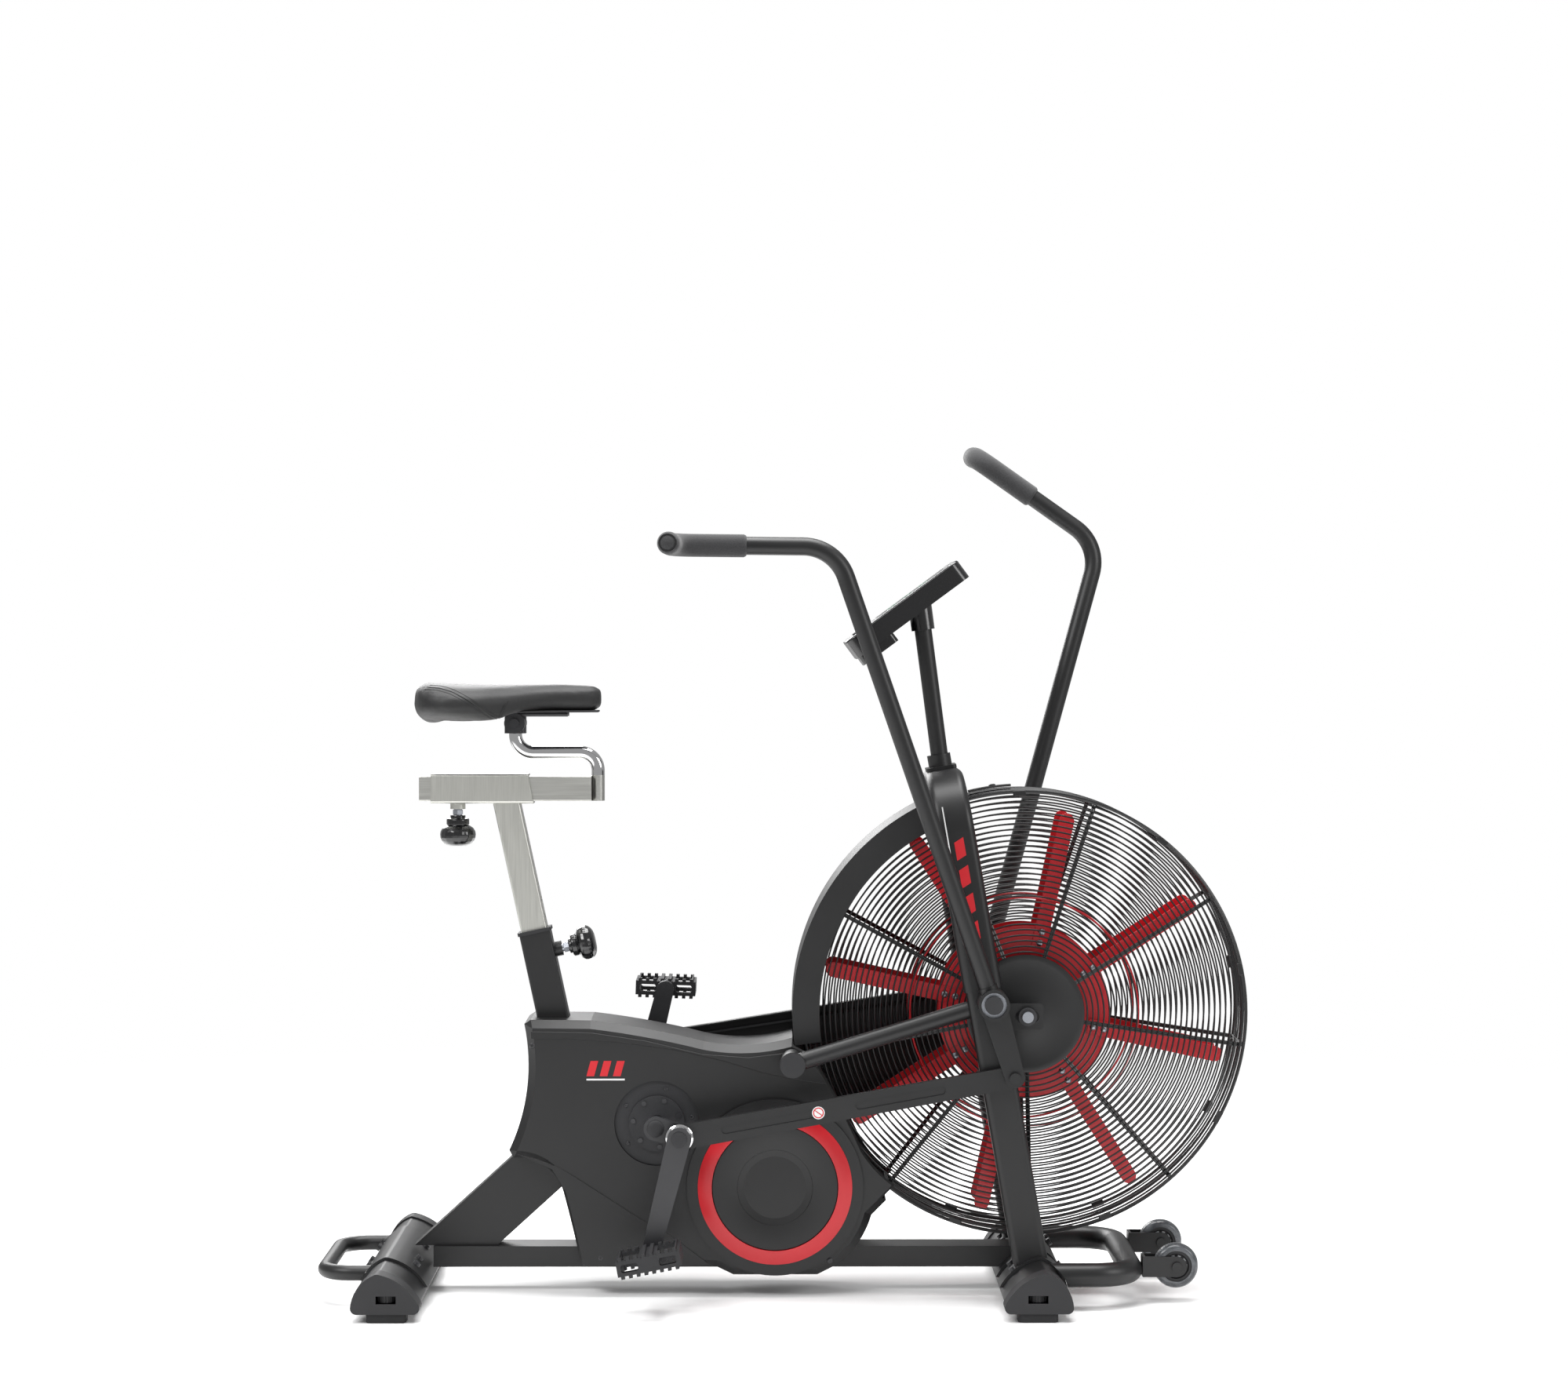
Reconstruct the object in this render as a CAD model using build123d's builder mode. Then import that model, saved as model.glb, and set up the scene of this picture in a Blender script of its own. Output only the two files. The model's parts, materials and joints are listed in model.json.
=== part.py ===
"""Air bike: a fan-braked exercise bike with swinging handlebars, a belt-driven fan and an adjustable saddle.

Frame: +X forward, +Y to the rider's left, +Z up, millimetres. Lengths along X are measured from a datum
ORIGIN_X behind the finished origin, which is on the floor in the middle of the bike's length and width.
Plane.XZ faces -Y, so side = RIGHT (1) goes towards -Y and side = LEFT (-1) towards +Y, and each distance
y from the middle plane is given as a positive number.
"""

from build123d import *
import math
import os

os.makedirs("parts", exist_ok=True)

RIGHT, LEFT = 1, -1
NAMES = {RIGHT: "right", LEFT: "left"}
FIT, RUN, WALL = 0.3, 0.05, 2  # free gap, radial running clearance, tube wall
ORIGIN_X = 38  # from the datum of the X lengths below to the middle of the bike's length

# floor members
STABILIZERS = {"rear": (-514.5, -1), "front": (389.5, 1)}  # x of the middle, and the side its apex leans to
FOOT_Z, STABILIZER_END, CAP_START = 14, 272, 235
RAIL_HALF, RAIL_Z0, RAIL_Z1 = 30, 36, 66
HANDLE_X, HANDLE_HALF, HANDLE_TUBE, HANDLE_Z = -619, 130, 11, 45
LOOP_X, LOOP_HALF, LOOP_TUBE, LOOP_Z = 533, 165, 17, 47
WHEEL_X, WHEEL_Z, WHEEL_Y, WHEEL_R, WHEEL_WIDTH = 598, 51, 105, 32.5, 24
LEVELLER_Y, STEM_R = 254, 5

# seat
SEAT_LEAN = 12.2
SEAT_TUBE_TOP = (-323.5, 519)
SEAT_TUBE, POST, SLIDER, BAR, PERCH_R = 45, 38, 43, 36, 9.5
SLIDER_Z, SLIDER_X0, SLIDER_X1, BAR_X0, BAR_X1 = 729, -474, -325, -491, -241
POST_KNOB_BELOW, SLIDER_KNOB_X = 30, -436
SADDLE_TILT_X, SADDLE_TILT_Z = -352, 824

# crank
CRANK_X, CRANK_Z, CRANK_R, JOURNAL_R = -145, 250, 170, 36
JOURNAL_ANGLE, PEDAL_ANGLE = -16.6, -92  # right side, at rest
SPINDLE_R, JOURNAL_PIN_R, PEDAL_PIN_R = 10, 9, 6
INNER_Y0, INNER_Y1, ROD_Y0, ROD_Y1, ARM_Y0, ARM_Y1 = 118, 131, 138, 150, 156, 170
PEDAL_Y0, PEDAL_Y1, PEDAL_LENGTH, PEDAL_TILT = 178, 264, 90, {RIGHT: 11, LEFT: -2}

# fan
FAN_X, FAN_Z, FAN_AXLE_R = 385, 408, 8
CAGE_R, PLATE_R, CAGE_WIRE, PLATE_Y, RIM_Y = 321, 84, 2.4, 75, 62
RIB_COUNT, FIRST_RIB, RING_COUNT, RING_PITCH = 9, 71.5, 29, 8
FAN_DISC_R, BLADE_R, BLADE_COUNT, FIRST_BLADE, BLADE_HALF, FLANGE = 124, 293, 8, 77.5, 46, 22
GUARD_R, GUARD_INNER, GUARD_FROM, GUARD_TO, GUARD_Y = 335, 296, 108.5, 188, 68

# belt drive, on the left side
BELT_Y0, BELT_Y1, DRIVE_R, DRIVEN_R, BELT_THICK = 83, 92, 100, 22.5, 3
BELT_COVER_Y0, BELT_COVER_Y1 = 77.5, 97

# front end
POST_FOOT, POST_LEAN, LEG_Y, LEG_WIDTH, LEG_DEPTH = (388, 65), 9.94, 120, 50, 28
POST_TOP, FORK_TOP, FORK_WIDTH = 388, 688, 55  # distances along the leaning axis, and the fork's width
PIVOT_X, PIVOT_Z, PIVOT_R, HUB_R, HUB_BORE, HUB_Y0, HUB_Y1 = 333, 431, 8.5, 22, 18, 138, 192
ROCKER, ROCKER_ANGLE, LUG_Y0, LUG_Y1 = 110, 16.5, 152, 163
HANDLE_BAR_R, GRIP_R, BAR_START_Y = 12.7, 16, 165
BAR_CORNER, BAR_END, GRIP_OUT_Y = (109, 225, 1075), (-117, 233, 1077), 300
MAST_TOP = (238.7, 973)

# covers
CASING_Y, CASING_WALL, CASING_CHAMFER = 72, 2.5, 13
RING_X, RING_Z, RING_R, RING_INNER, BULGE_R, BULGE_Y = 25, 158, 111, 91, 127, 76
RECESS_R, CROSS_TUBE = 61, (50, 340, 17.5)

# console
CONSOLE_SLOPE, CONSOLE_TOP = 36.4, (205.3, 1000.5)
CONSOLE_LENGTH, CONSOLE_WIDTH, CONSOLE_THICK = 200, 170, 30


def write(piece, name):
    """Moves a finished piece from the datum to the origin, labels it and writes its STEP file."""
    piece.part = piece.part.moved(Location((-ORIGIN_X, 0, 0)))
    piece.part.label = name
    export_step(piece.part, f"parts/{name}.step")


def side_plane(side, y=0.0):
    """The X-Z plane at distance y towards one side. An extrusion by side * amount goes outwards."""
    return Plane.XZ.offset(side * y)


def polar(x, z, radius, degrees):
    """The point at an angle from +X towards +Z around (x, z)."""
    a = math.radians(degrees)
    return x + radius * math.cos(a), z + radius * math.sin(a)


def disc(side, x, z, radius, y0, y1, mode=Mode.ADD):
    """A round boss or hole along Y in the open BuildPart, from y0 to y1 on one side."""
    with BuildSketch(side_plane(side, y0)) as face:
        with Locations((x, z)):
            Circle(radius)
    extrude(face.sketch, amount=side * (y1 - y0), mode=mode)


def block(x0, x1, y0, y1, z0, z1, mode=Mode.ADD):
    """A box in the open BuildPart, given by its limits."""
    with Locations(((x0 + x1) / 2, (y0 + y1) / 2, (z0 + z1) / 2)):
        Box(x1 - x0, y1 - y0, z1 - z0, mode=mode)


def rod(start, end, radius, mode=Mode.ADD):
    """A round bar in the open BuildPart between two points."""
    a, b = Vector(*start), Vector(*end)
    with BuildSketch(Plane(origin=a, z_dir=b - a)) as face:
        Circle(radius)
    extrude(face.sketch, amount=(b - a).length, mode=mode)


def section_plane(end, distance):
    """The plane across a stabilizer at a distance along it. Its local x points away from the bike's middle,
    so that one section serves both ends, and it faces right at the front and left at the rear."""
    x, lean = STABILIZERS[end]
    return Plane(origin=(x, -lean * distance, 0), x_dir=(lean, 0, 0), z_dir=(0, -lean, 0))


def arch(grow=0.0):
    """A stabilizer's leaning rounded-triangle section in the open BuildSketch, grown evenly."""
    with BuildLine() as line:
        ThreePointArc((47, FOOT_Z), (37, FOOT_Z + 33), (13, FOOT_Z + 51))
        ThreePointArc((13, FOOT_Z + 51), (-23, FOOT_Z + 34), (-47, FOOT_Z))
        Line((-47, FOOT_Z), (47, FOOT_Z))
    make_face(line.edges())
    fillet(vertices(), radius=6)
    if grow:
        offset(amount=grow, mode=Mode.REPLACE)


def arch_bar(end, grow, half_length, mode=Mode.ADD):
    """The stabilizer's section along Y in the open BuildPart, to half_length each side."""
    with BuildSketch(section_plane(end, -half_length)) as face:
        arch(grow)
    extrude(face.sketch, amount=2 * half_length, mode=mode)


def saddle_plate(end, y0, y1):
    """A curved plate over a stabilizer in the open BuildPart, between two distances along it."""
    with BuildSketch(section_plane(end, y0)) as face:
        arch(4.2)
        arch_hole(0.2)
        with Locations((0, FOOT_Z)):
            Rectangle(130, 24, mode=Mode.SUBTRACT)
    extrude(face.sketch, amount=y1 - y0)


def arch_hole(grow):
    """Cuts the stabilizer's section out of the open BuildSketch."""
    with BuildSketch(mode=Mode.PRIVATE) as section:
        arch(grow)
    add(section.sketch, mode=Mode.SUBTRACT)


def ring_sector(x, z, inner, outer, start, end):
    """A piece of a flat ring between two angles, in the open BuildSketch."""
    mid = (start + end) / 2
    with BuildLine() as line:
        ThreePointArc(*(polar(x, z, outer, a) for a in (start, mid, end)))
        Line(polar(x, z, outer, end), polar(x, z, inner, end))
        ThreePointArc(*(polar(x, z, inner, a) for a in (end, mid, start)))
        Line(polar(x, z, inner, start), polar(x, z, outer, start))
    make_face(line.edges())


# floor members


def stabilizers():
    with BuildPart() as tubes:
        for end in STABILIZERS:
            with BuildSketch(section_plane(end, -CAP_START - 6)):
                arch()
                arch_hole(-WALL)
            extrude(amount=2 * CAP_START + 12)
    write(tubes, "stabilizers")


def stabilizer_caps():
    """Plastic end caps, each with a window in its end, and the leveller's ribbed dial behind it."""
    with BuildPart() as caps:
        for end, (x, lean) in STABILIZERS.items():
            for side in (RIGHT, LEFT):
                out = -lean * side  # +1 towards the left, -1 towards the right
                y = out * LEVELLER_Y
                with BuildSketch(section_plane(end, side * CAP_START)):
                    arch(2.6)
                extrude(amount=side * (STABILIZER_END - CAP_START))
                with BuildSketch(section_plane(end, side * CAP_START)):
                    arch(0.2)
                extrude(amount=side * (STABILIZER_END - CAP_START - 4), mode=Mode.SUBTRACT)
                window = out * (STABILIZER_END - 2)
                block(x - 14, x + 14, window - 3, window + 3, 26, 37, mode=Mode.SUBTRACT)
                with Locations((x, y, FOOT_Z)):
                    Cylinder(STEM_R + FIT, 12, mode=Mode.SUBTRACT)
                with BuildSketch(Plane.XY.offset(27)):
                    with Locations((x, y)):
                        Circle(13)
                        Circle(STEM_R + FIT, mode=Mode.SUBTRACT)
                        with PolarLocations(13, 20):
                            Circle(0.8, mode=Mode.SUBTRACT)
                extrude(amount=9)
    write(caps, "stabilizer_caps")


def levellers():
    for end, (x, _) in STABILIZERS.items():
        for side in (RIGHT, LEFT):
            with BuildPart() as foot:
                with BuildSketch(Plane.XY):
                    with Locations((x, -side * LEVELLER_Y)):
                        RectangleRounded(56, 30, 6)
                extrude(amount=11)
                with Locations((x, -side * LEVELLER_Y, 11)):
                    Cylinder(STEM_R, 34, align=(Align.CENTER, Align.CENTER, Align.MIN))
            write(foot, f"{end}_{NAMES[side]}_leveller")


def base_rail():
    with BuildPart() as rail:
        block(-470, 380, -RAIL_HALF, RAIL_HALF, RAIL_Z0, RAIL_Z1)
        hollow = RAIL_HALF - WALL
        block(-471, 381, -hollow, hollow, RAIL_Z0 + WALL, RAIL_Z1 - WALL, mode=Mode.SUBTRACT)
        arch_bar("rear", 0.2, 200, mode=Mode.SUBTRACT)
        arch_bar("front", 0.2, 200, mode=Mode.SUBTRACT)
        saddle_plate("rear", -140, 140)
        saddle_plate("front", -62, 62)
    write(rail, "base_rail")


def loops():
    """The rear carry handle and the front bar that carries the transport wheels."""
    for name, end, x, half, radius, z, bend in (
        ("rear_handle", "rear", HANDLE_X, HANDLE_HALF, HANDLE_TUBE, HANDLE_Z, 42),
        ("front_loop", "front", LOOP_X, LOOP_HALF, LOOP_TUBE, LOOP_Z, 58),
    ):
        x_root = STABILIZERS[end][0] + STABILIZERS[end][1] * 20
        with BuildPart() as loop:
            with BuildLine(Plane.XY.offset(z)) as path:
                FilletPolyline((x_root, -half), (x, -half), (x, half), (x_root, half), radius=bend)
            with BuildSketch(Plane(path.line @ 0, z_dir=path.line % 0)):
                Circle(radius)
                Circle(radius - WALL, mode=Mode.SUBTRACT)
            sweep()
            arch_bar(end, 4.4, 240, mode=Mode.SUBTRACT)
            if end == "front":
                wheel_brackets()
        write(loop, name)


def wheel_brackets():
    """Two forks for the transport wheels, with their axle bolts, in the open BuildPart."""
    plate, gap = 3, 1.5
    reach = WHEEL_WIDTH / 2 + gap
    x0, width = LOOP_X + LOOP_TUBE - 0.5, reach + plate
    for side in (RIGHT, LEFT):
        for y in (WHEEL_Y - reach - plate, WHEEL_Y + reach):
            with BuildSketch(side_plane(side, y)) as ear:
                with Locations((WHEEL_X, WHEEL_Z)):
                    Circle(14.5)
                with Locations(((WHEEL_X + x0) / 2, WHEEL_Z)):
                    Rectangle(WHEEL_X - x0, 29)
            extrude(ear.sketch, amount=side * plate)
        y = -side * WHEEL_Y
        block(x0, x0 + 4, y - width, y + width, WHEEL_Z - 14.5, WHEEL_Z + 14.5)
        disc(side, WHEEL_X, WHEEL_Z, 4, WHEEL_Y - width, WHEEL_Y + width)
        disc(side, WHEEL_X, WHEEL_Z, 7, WHEEL_Y - width - 4, WHEEL_Y - width)
        disc(side, WHEEL_X, WHEEL_Z, 7, WHEEL_Y + width, WHEEL_Y + width + 4)


def transport_wheels():
    for side in (RIGHT, LEFT):
        with BuildPart() as wheel:
            disc(side, WHEEL_X, WHEEL_Z, WHEEL_R, WHEEL_Y - WHEEL_WIDTH / 2, WHEEL_Y + WHEEL_WIDTH / 2)
            fillet(wheel.edges().filter_by(GeomType.CIRCLE), radius=9)
            disc(side, WHEEL_X, WHEEL_Z, 4 + RUN, WHEEL_Y - 20, WHEEL_Y + 20, mode=Mode.SUBTRACT)
        write(wheel, f"{NAMES[side]}_wheel")


# seat tube and saddle


def seat_plane(below):
    """The plane across the seat tube at a distance below its top, facing down the tube."""
    a = math.radians(SEAT_LEAN)
    x, z = SEAT_TUBE_TOP
    down = (math.sin(a), 0, -math.cos(a))
    origin = (x + below * down[0], 0, z + below * down[2])
    return Plane(origin=origin, x_dir=(math.cos(a), 0, math.sin(a)), z_dir=down)


def square_bar(size, start, end, mode=Mode.ADD, corner=3.0):
    """A square bar on the seat tube's axis in the open BuildPart, from start to end below its top."""
    with BuildSketch(seat_plane(start)) as face:
        RectangleRounded(size, size, corner)
    extrude(face.sketch, amount=end - start, mode=mode)


def knob_plane(reach):
    """The plane across the post knob's pin, facing forward, at reach in front of the tube's axis."""
    base = seat_plane(POST_KNOB_BELOW)
    return Plane(origin=base.origin + base.x_dir * reach, x_dir=(0, 1, 0), z_dir=base.x_dir)


def diagonal_outline(grow=0.0):
    """The diagonal tube's side view in the open BuildSketch."""
    Polygon((-498, RAIL_Z1), (-378, RAIL_Z1), (-225, 205), (-247, 294), align=None)
    if grow:
        offset(amount=grow, mode=Mode.REPLACE)


def diagonal_frame():
    """The diagonal tube, and the bottom bracket shell that it carries through a short cross piece."""
    with BuildPart() as frame:
        with BuildSketch(Plane.XZ):
            diagonal_outline()
        extrude(amount=20, both=True)
        with BuildSketch(Plane.XZ):
            diagonal_outline(-WALL)
        extrude(amount=20 - WALL, both=True, mode=Mode.SUBTRACT)
        block(-236, CRANK_X - 20, -18, 18, 228, 272)
        block(CRANK_X - 18, CRANK_X + 18, -18, 18, RAIL_Z1, CRANK_Z - 20)
        disc(RIGHT, CRANK_X, CRANK_Z, 26, -55, 55)
        disc(RIGHT, CRANK_X, CRANK_Z, 21, -56, 56, mode=Mode.SUBTRACT)
        arch_bar("rear", 4.4, 60, mode=Mode.SUBTRACT)
    write(frame, "diagonal_frame")


def seat_tube():
    with BuildPart() as tube:
        square_bar(SEAT_TUBE, 0, 300)
        square_bar(SEAT_TUBE - 2 * WALL, -1, 301, mode=Mode.SUBTRACT, corner=1.5)
        with BuildSketch(Plane.XZ):
            diagonal_outline(0.05)
            Polygon((-600, 0), (0, 0), (0, 150), (-225, 205), (-378, 66), (-600, 66), align=None)
        extrude(amount=60, both=True, mode=Mode.SUBTRACT)
        with BuildSketch(knob_plane(SEAT_TUBE / 2 - 1)):
            Circle(11)
        extrude(amount=12)
        with BuildSketch(knob_plane(10)):
            Circle(6 + RUN)
        extrude(amount=40, mode=Mode.SUBTRACT)
    write(tube, "seat_tube")
    with BuildPart() as sleeve:
        square_bar(SEAT_TUBE + 4, -5, -0.1, corner=4)
        square_bar(SEAT_TUBE - 2 * WALL - 0.2, -1, 60, corner=1.5)
        square_bar(POST + 0.2, -6, 61, mode=Mode.SUBTRACT, corner=3)
        with BuildSketch(knob_plane(10)):
            Circle(6 + FIT)
        extrude(amount=40, mode=Mode.SUBTRACT)
    write(sleeve, "seat_tube_sleeve")


def seat_post():
    """The square post and the sleeve welded on top of it, which the saddle's bar slides in."""
    top = (SEAT_TUBE_TOP[1] - SLIDER_Z + SLIDER / 2) / math.cos(math.radians(SEAT_LEAN))
    with BuildPart() as post:
        square_bar(POST, top - 4, 170)
        square_bar(POST - 2 * WALL, top - 5, 171, mode=Mode.SUBTRACT, corner=1.5)
        for hole in range(8):
            plane = seat_plane(POST_KNOB_BELOW - 25 * hole + 75)
            with BuildSketch(Plane(origin=plane.origin, x_dir=(0, 1, 0), z_dir=plane.x_dir)):
                Circle(5)
            extrude(amount=30, mode=Mode.SUBTRACT)
        half = SLIDER / 2
        with BuildSketch(Plane.YZ.offset(SLIDER_X0)):
            with Locations((0, SLIDER_Z)):
                RectangleRounded(SLIDER, SLIDER, 4)
        extrude(amount=SLIDER_X1 - SLIDER_X0)
        with BuildSketch(Plane.YZ.offset(SLIDER_X0 - 1)):
            with Locations((0, SLIDER_Z)):
                RectangleRounded(BAR + 2 * FIT, BAR + 2 * FIT, 2)
        extrude(amount=SLIDER_X1 - SLIDER_X0 + 2, mode=Mode.SUBTRACT)
        with BuildSketch(Plane.XZ):
            Polygon((SLIDER_X1 - 8, SLIDER_Z + half + 1), (SLIDER_X1, SLIDER_Z - half),
                    (SLIDER_X1 + 2, SLIDER_Z - half), (SLIDER_X1 + 2, SLIDER_Z + half + 1), align=None)
        extrude(amount=30, both=True, mode=Mode.SUBTRACT)
        with Locations((SLIDER_KNOB_X, 0, SLIDER_Z - half - 4)):
            Cylinder(11, 9)
        with Locations((SLIDER_KNOB_X, 0, SLIDER_Z - half)):
            Cylinder(6 + RUN, 30, mode=Mode.SUBTRACT)
    write(post, "seat_post")


def seat_slider():
    """The sliding bar and the bent saddle tube welded to its front end."""
    with BuildPart() as slider:
        with BuildSketch(Plane.YZ.offset(BAR_X0)):
            with Locations((0, SLIDER_Z)):
                RectangleRounded(BAR, BAR, 2)
                RectangleRounded(BAR - 5, BAR - 5, 1, mode=Mode.SUBTRACT)
        extrude(amount=BAR_X1 - BAR_X0)
        x1, z1 = BAR_X1 + PERCH_R - 0.4, SLIDER_Z + 52
        with BuildLine(Plane.XZ) as path:
            FilletPolyline((x1, SLIDER_Z - BAR / 2), (x1, z1), (SADDLE_TILT_X, z1),
                           (SADDLE_TILT_X, SADDLE_TILT_Z + 8), radius=26)
        with BuildSketch(Plane(path.line @ 0, z_dir=path.line % 0)):
            Circle(PERCH_R)
            Circle(PERCH_R - WALL, mode=Mode.SUBTRACT)
        sweep()
        disc(RIGHT, SADDLE_TILT_X, SADDLE_TILT_Z, 4.2, -20, 20, mode=Mode.SUBTRACT)
    write(slider, "seat_slider")
    with BuildPart() as clamp:
        with Locations((SADDLE_TILT_X, 0, SADDLE_TILT_Z - 3)):
            Box(31, 26, 24)
        fillet(clamp.edges().filter_by(Axis.Z), radius=6)
        with Locations((SADDLE_TILT_X, 0, SADDLE_TILT_Z - 8)):
            Cylinder(PERCH_R + 0.05, 34, mode=Mode.SUBTRACT)
        disc(RIGHT, SADDLE_TILT_X, SADDLE_TILT_Z, 4.2, -20, 20, mode=Mode.SUBTRACT)
    write(clamp, "saddle_clamp")
    with BuildPart() as cradle:
        disc(RIGHT, SADDLE_TILT_X, SADDLE_TILT_Z, 4.1, -28, 28)
        for side in (RIGHT, LEFT):
            disc(side, SADDLE_TILT_X, SADDLE_TILT_Z, 15, 13.3, 25)
            disc(side, SADDLE_TILT_X, SADDLE_TILT_Z, 7, 25, 30)
            rod((-430, -side * 19, 837), (-275, -side * 19, 837), 3.5)
    write(cradle, "saddle_cradle")


def saddle_pad():
    """The padded saddle: wide wings that hang down at the back, and a narrow nose that tucks up."""
    with BuildPart() as pad:
        with BuildSketch(Plane.XY.offset(826)):
            Polygon((-222, -20), (-222, 20), (-330, 58), (-420, 120), (-497, 92),
                    (-497, -92), (-420, -120), (-330, -58), align=None)
            fillet(vertices(), radius=19)
        extrude(amount=57)
        fillet(pad.faces().sort_by(Axis.Z)[-1].edges(), radius=12)
        with BuildSketch(Plane.XZ):
            Polygon((-366, 825), (-306, 841), (-200, 841), (-200, 825), align=None)
        extrude(amount=150, both=True, mode=Mode.SUBTRACT)
        with BuildSketch(Plane.XY.offset(825)):
            with Locations((-376, 0)):
                RectangleRounded(156, 116, 12)
        extrude(amount=16, mode=Mode.SUBTRACT)
    write(pad, "saddle_pad")


def knobs():
    """Spring-loaded pull knobs: each pin's tip stops just short of the sliding tube."""
    with BuildPart() as post_knob:
        tip = POST / 2 + 0.4
        for start, end, radius in ((tip, 36, 6), (36.3, 44, 8), (44, 54, 16), (54, 83, 26)):
            with BuildSketch(knob_plane(start)):
                Circle(radius)
            extrude(amount=end - start)
        fillet(post_knob.edges().filter_by(GeomType.CIRCLE).sort_by(Axis.X)[-1], radius=10)
    write(post_knob, "post_knob")
    z = SLIDER_Z - BAR / 2 - 0.4
    with BuildPart() as slider_knob:
        for top, bottom, radius in ((z, 696, 6), (698.9, 690, 8), (690, 675, 16), (675, 645, 26)):
            with Locations((SLIDER_KNOB_X, 0, top)):
                Cylinder(radius, top - bottom, align=(Align.CENTER, Align.CENTER, Align.MAX))
        fillet(slider_knob.edges().filter_by(GeomType.CIRCLE).sort_by(Axis.Z)[0], radius=10)
    write(slider_knob, "slider_knob")


# front end


def leg_plane(side, distance, y=LEG_Y):
    """The plane across a front leg at a distance up its leaning axis."""
    a = math.radians(POST_LEAN)
    origin = (POST_FOOT[0] - distance * math.sin(a), -side * y, POST_FOOT[1] + distance * math.cos(a))
    return Plane(origin=origin, x_dir=(math.cos(a), 0, math.sin(a)), z_dir=(-math.sin(a), 0, math.cos(a)))


def front_posts():
    """Two posts from the front stabilizer, with the fan axle's slotted brackets and the pivot studs."""
    half = LEG_DEPTH / 2
    with BuildPart() as posts:
        for side in (RIGHT, LEFT):
            with BuildSketch(leg_plane(side, -20)):
                RectangleRounded(LEG_WIDTH, LEG_DEPTH, 9)
                RectangleRounded(LEG_WIDTH - 2 * WALL, LEG_DEPTH - 2 * WALL, 7, mode=Mode.SUBTRACT)
            extrude(amount=POST_TOP + 20)
            with BuildSketch(leg_plane(side, POST_TOP - 3)):
                RectangleRounded(LEG_WIDTH - WALL, LEG_DEPTH - WALL, 8)
            extrude(amount=3)
            with BuildSketch(side_plane(side, LEG_Y - half)):
                with Locations((FAN_X - 16, FAN_Z)):
                    RectangleRounded(78, 37, 5)
            extrude(amount=side * 6)
            with BuildSketch(side_plane(side, LEG_Y - half - 1)):
                with Locations((FAN_X, FAN_Z)):
                    SlotOverall(34, 2 * FAN_AXLE_R + 0.2)
            extrude(amount=side * 8, mode=Mode.SUBTRACT)
            disc(side, PIVOT_X, PIVOT_Z, 16, LEG_Y + half - 1, HUB_Y0 - FIT)
            disc(side, PIVOT_X, PIVOT_Z, PIVOT_R, HUB_Y0 - FIT, HUB_Y1 - 8)
        arch_bar("front", 0.2, 200, mode=Mode.SUBTRACT)
        saddle_plate("front", 90, 146)
        saddle_plate("front", -146, -90)
    write(posts, "front_posts")


def front_fork():
    """The inverted-U fork that runs from one post over the fan cage to the other."""
    a = math.radians(POST_LEAN)
    plane = Plane(origin=(POST_FOOT[0], 0, POST_FOOT[1]), x_dir=(0, 1, 0), z_dir=(math.cos(a), 0, math.sin(a)))
    with BuildPart() as fork:
        with BuildLine(plane) as path:
            FilletPolyline((-LEG_Y, POST_TOP), (-LEG_Y, FORK_TOP), (LEG_Y, FORK_TOP), (LEG_Y, POST_TOP),
                           radius=72)
        with BuildSketch(Plane(path.line @ 0, x_dir=plane.z_dir, z_dir=path.line % 0)):
            RectangleRounded(FORK_WIDTH, LEG_DEPTH, 11)
            RectangleRounded(FORK_WIDTH - 5, LEG_DEPTH - 5, 9, mode=Mode.SUBTRACT)
        sweep()
    write(fork, "front_fork")


def console_mast():
    base = leg_plane(RIGHT, FORK_TOP + LEG_DEPTH / 2 + 0.1, 0)
    top = (MAST_TOP[0], 0, MAST_TOP[1])
    with BuildPart() as mast:
        with BuildSketch(base):
            RectangleRounded(44, 60, 6)
        extrude(amount=5)
        with BuildSketch(base):
            Circle(17)
        extrude(amount=22)
        rod(base.origin + (0, 0, 2), top, 12.5)
        rod(base.origin + (0, 0, 8), top, 10.5, mode=Mode.SUBTRACT)
    write(mast, "console_mast")


def fan_stays():
    """A cross tube through the casing and a stay from each of its ends to the front post."""
    x, z, radius = CROSS_TUBE
    joint = leg_plane(RIGHT, (425 - POST_FOOT[1]) / math.cos(math.radians(POST_LEAN)), 0).origin
    with BuildPart() as stays:
        disc(RIGHT, x, z, radius, -126, 126)
        disc(RIGHT, x, z, radius - 3, -127, 127, mode=Mode.SUBTRACT)
        for side in (RIGHT, LEFT):
            y = -side * 113
            rod((x, y, z), (joint.X, y, joint.Z), 12.5)
            disc(side, x, z, radius - 3, 20, 100, mode=Mode.SUBTRACT)
            disc(side, x, z, radius + 1, 126, 130)
        with BuildSketch(leg_plane(RIGHT, 0, 0)):
            Rectangle(LEG_WIDTH + 0.2, 400)
        extrude(amount=500, mode=Mode.SUBTRACT)
    write(stays, "fan_stays")


def rod_length():
    """Distance from the right journal to the right rocker's pin, at rest."""
    return math.dist(journal(RIGHT), rocker_pin(RIGHT))


def journal(side):
    return polar(CRANK_X, CRANK_Z, JOURNAL_R, JOURNAL_ANGLE + (180 if side == LEFT else 0))


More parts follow.
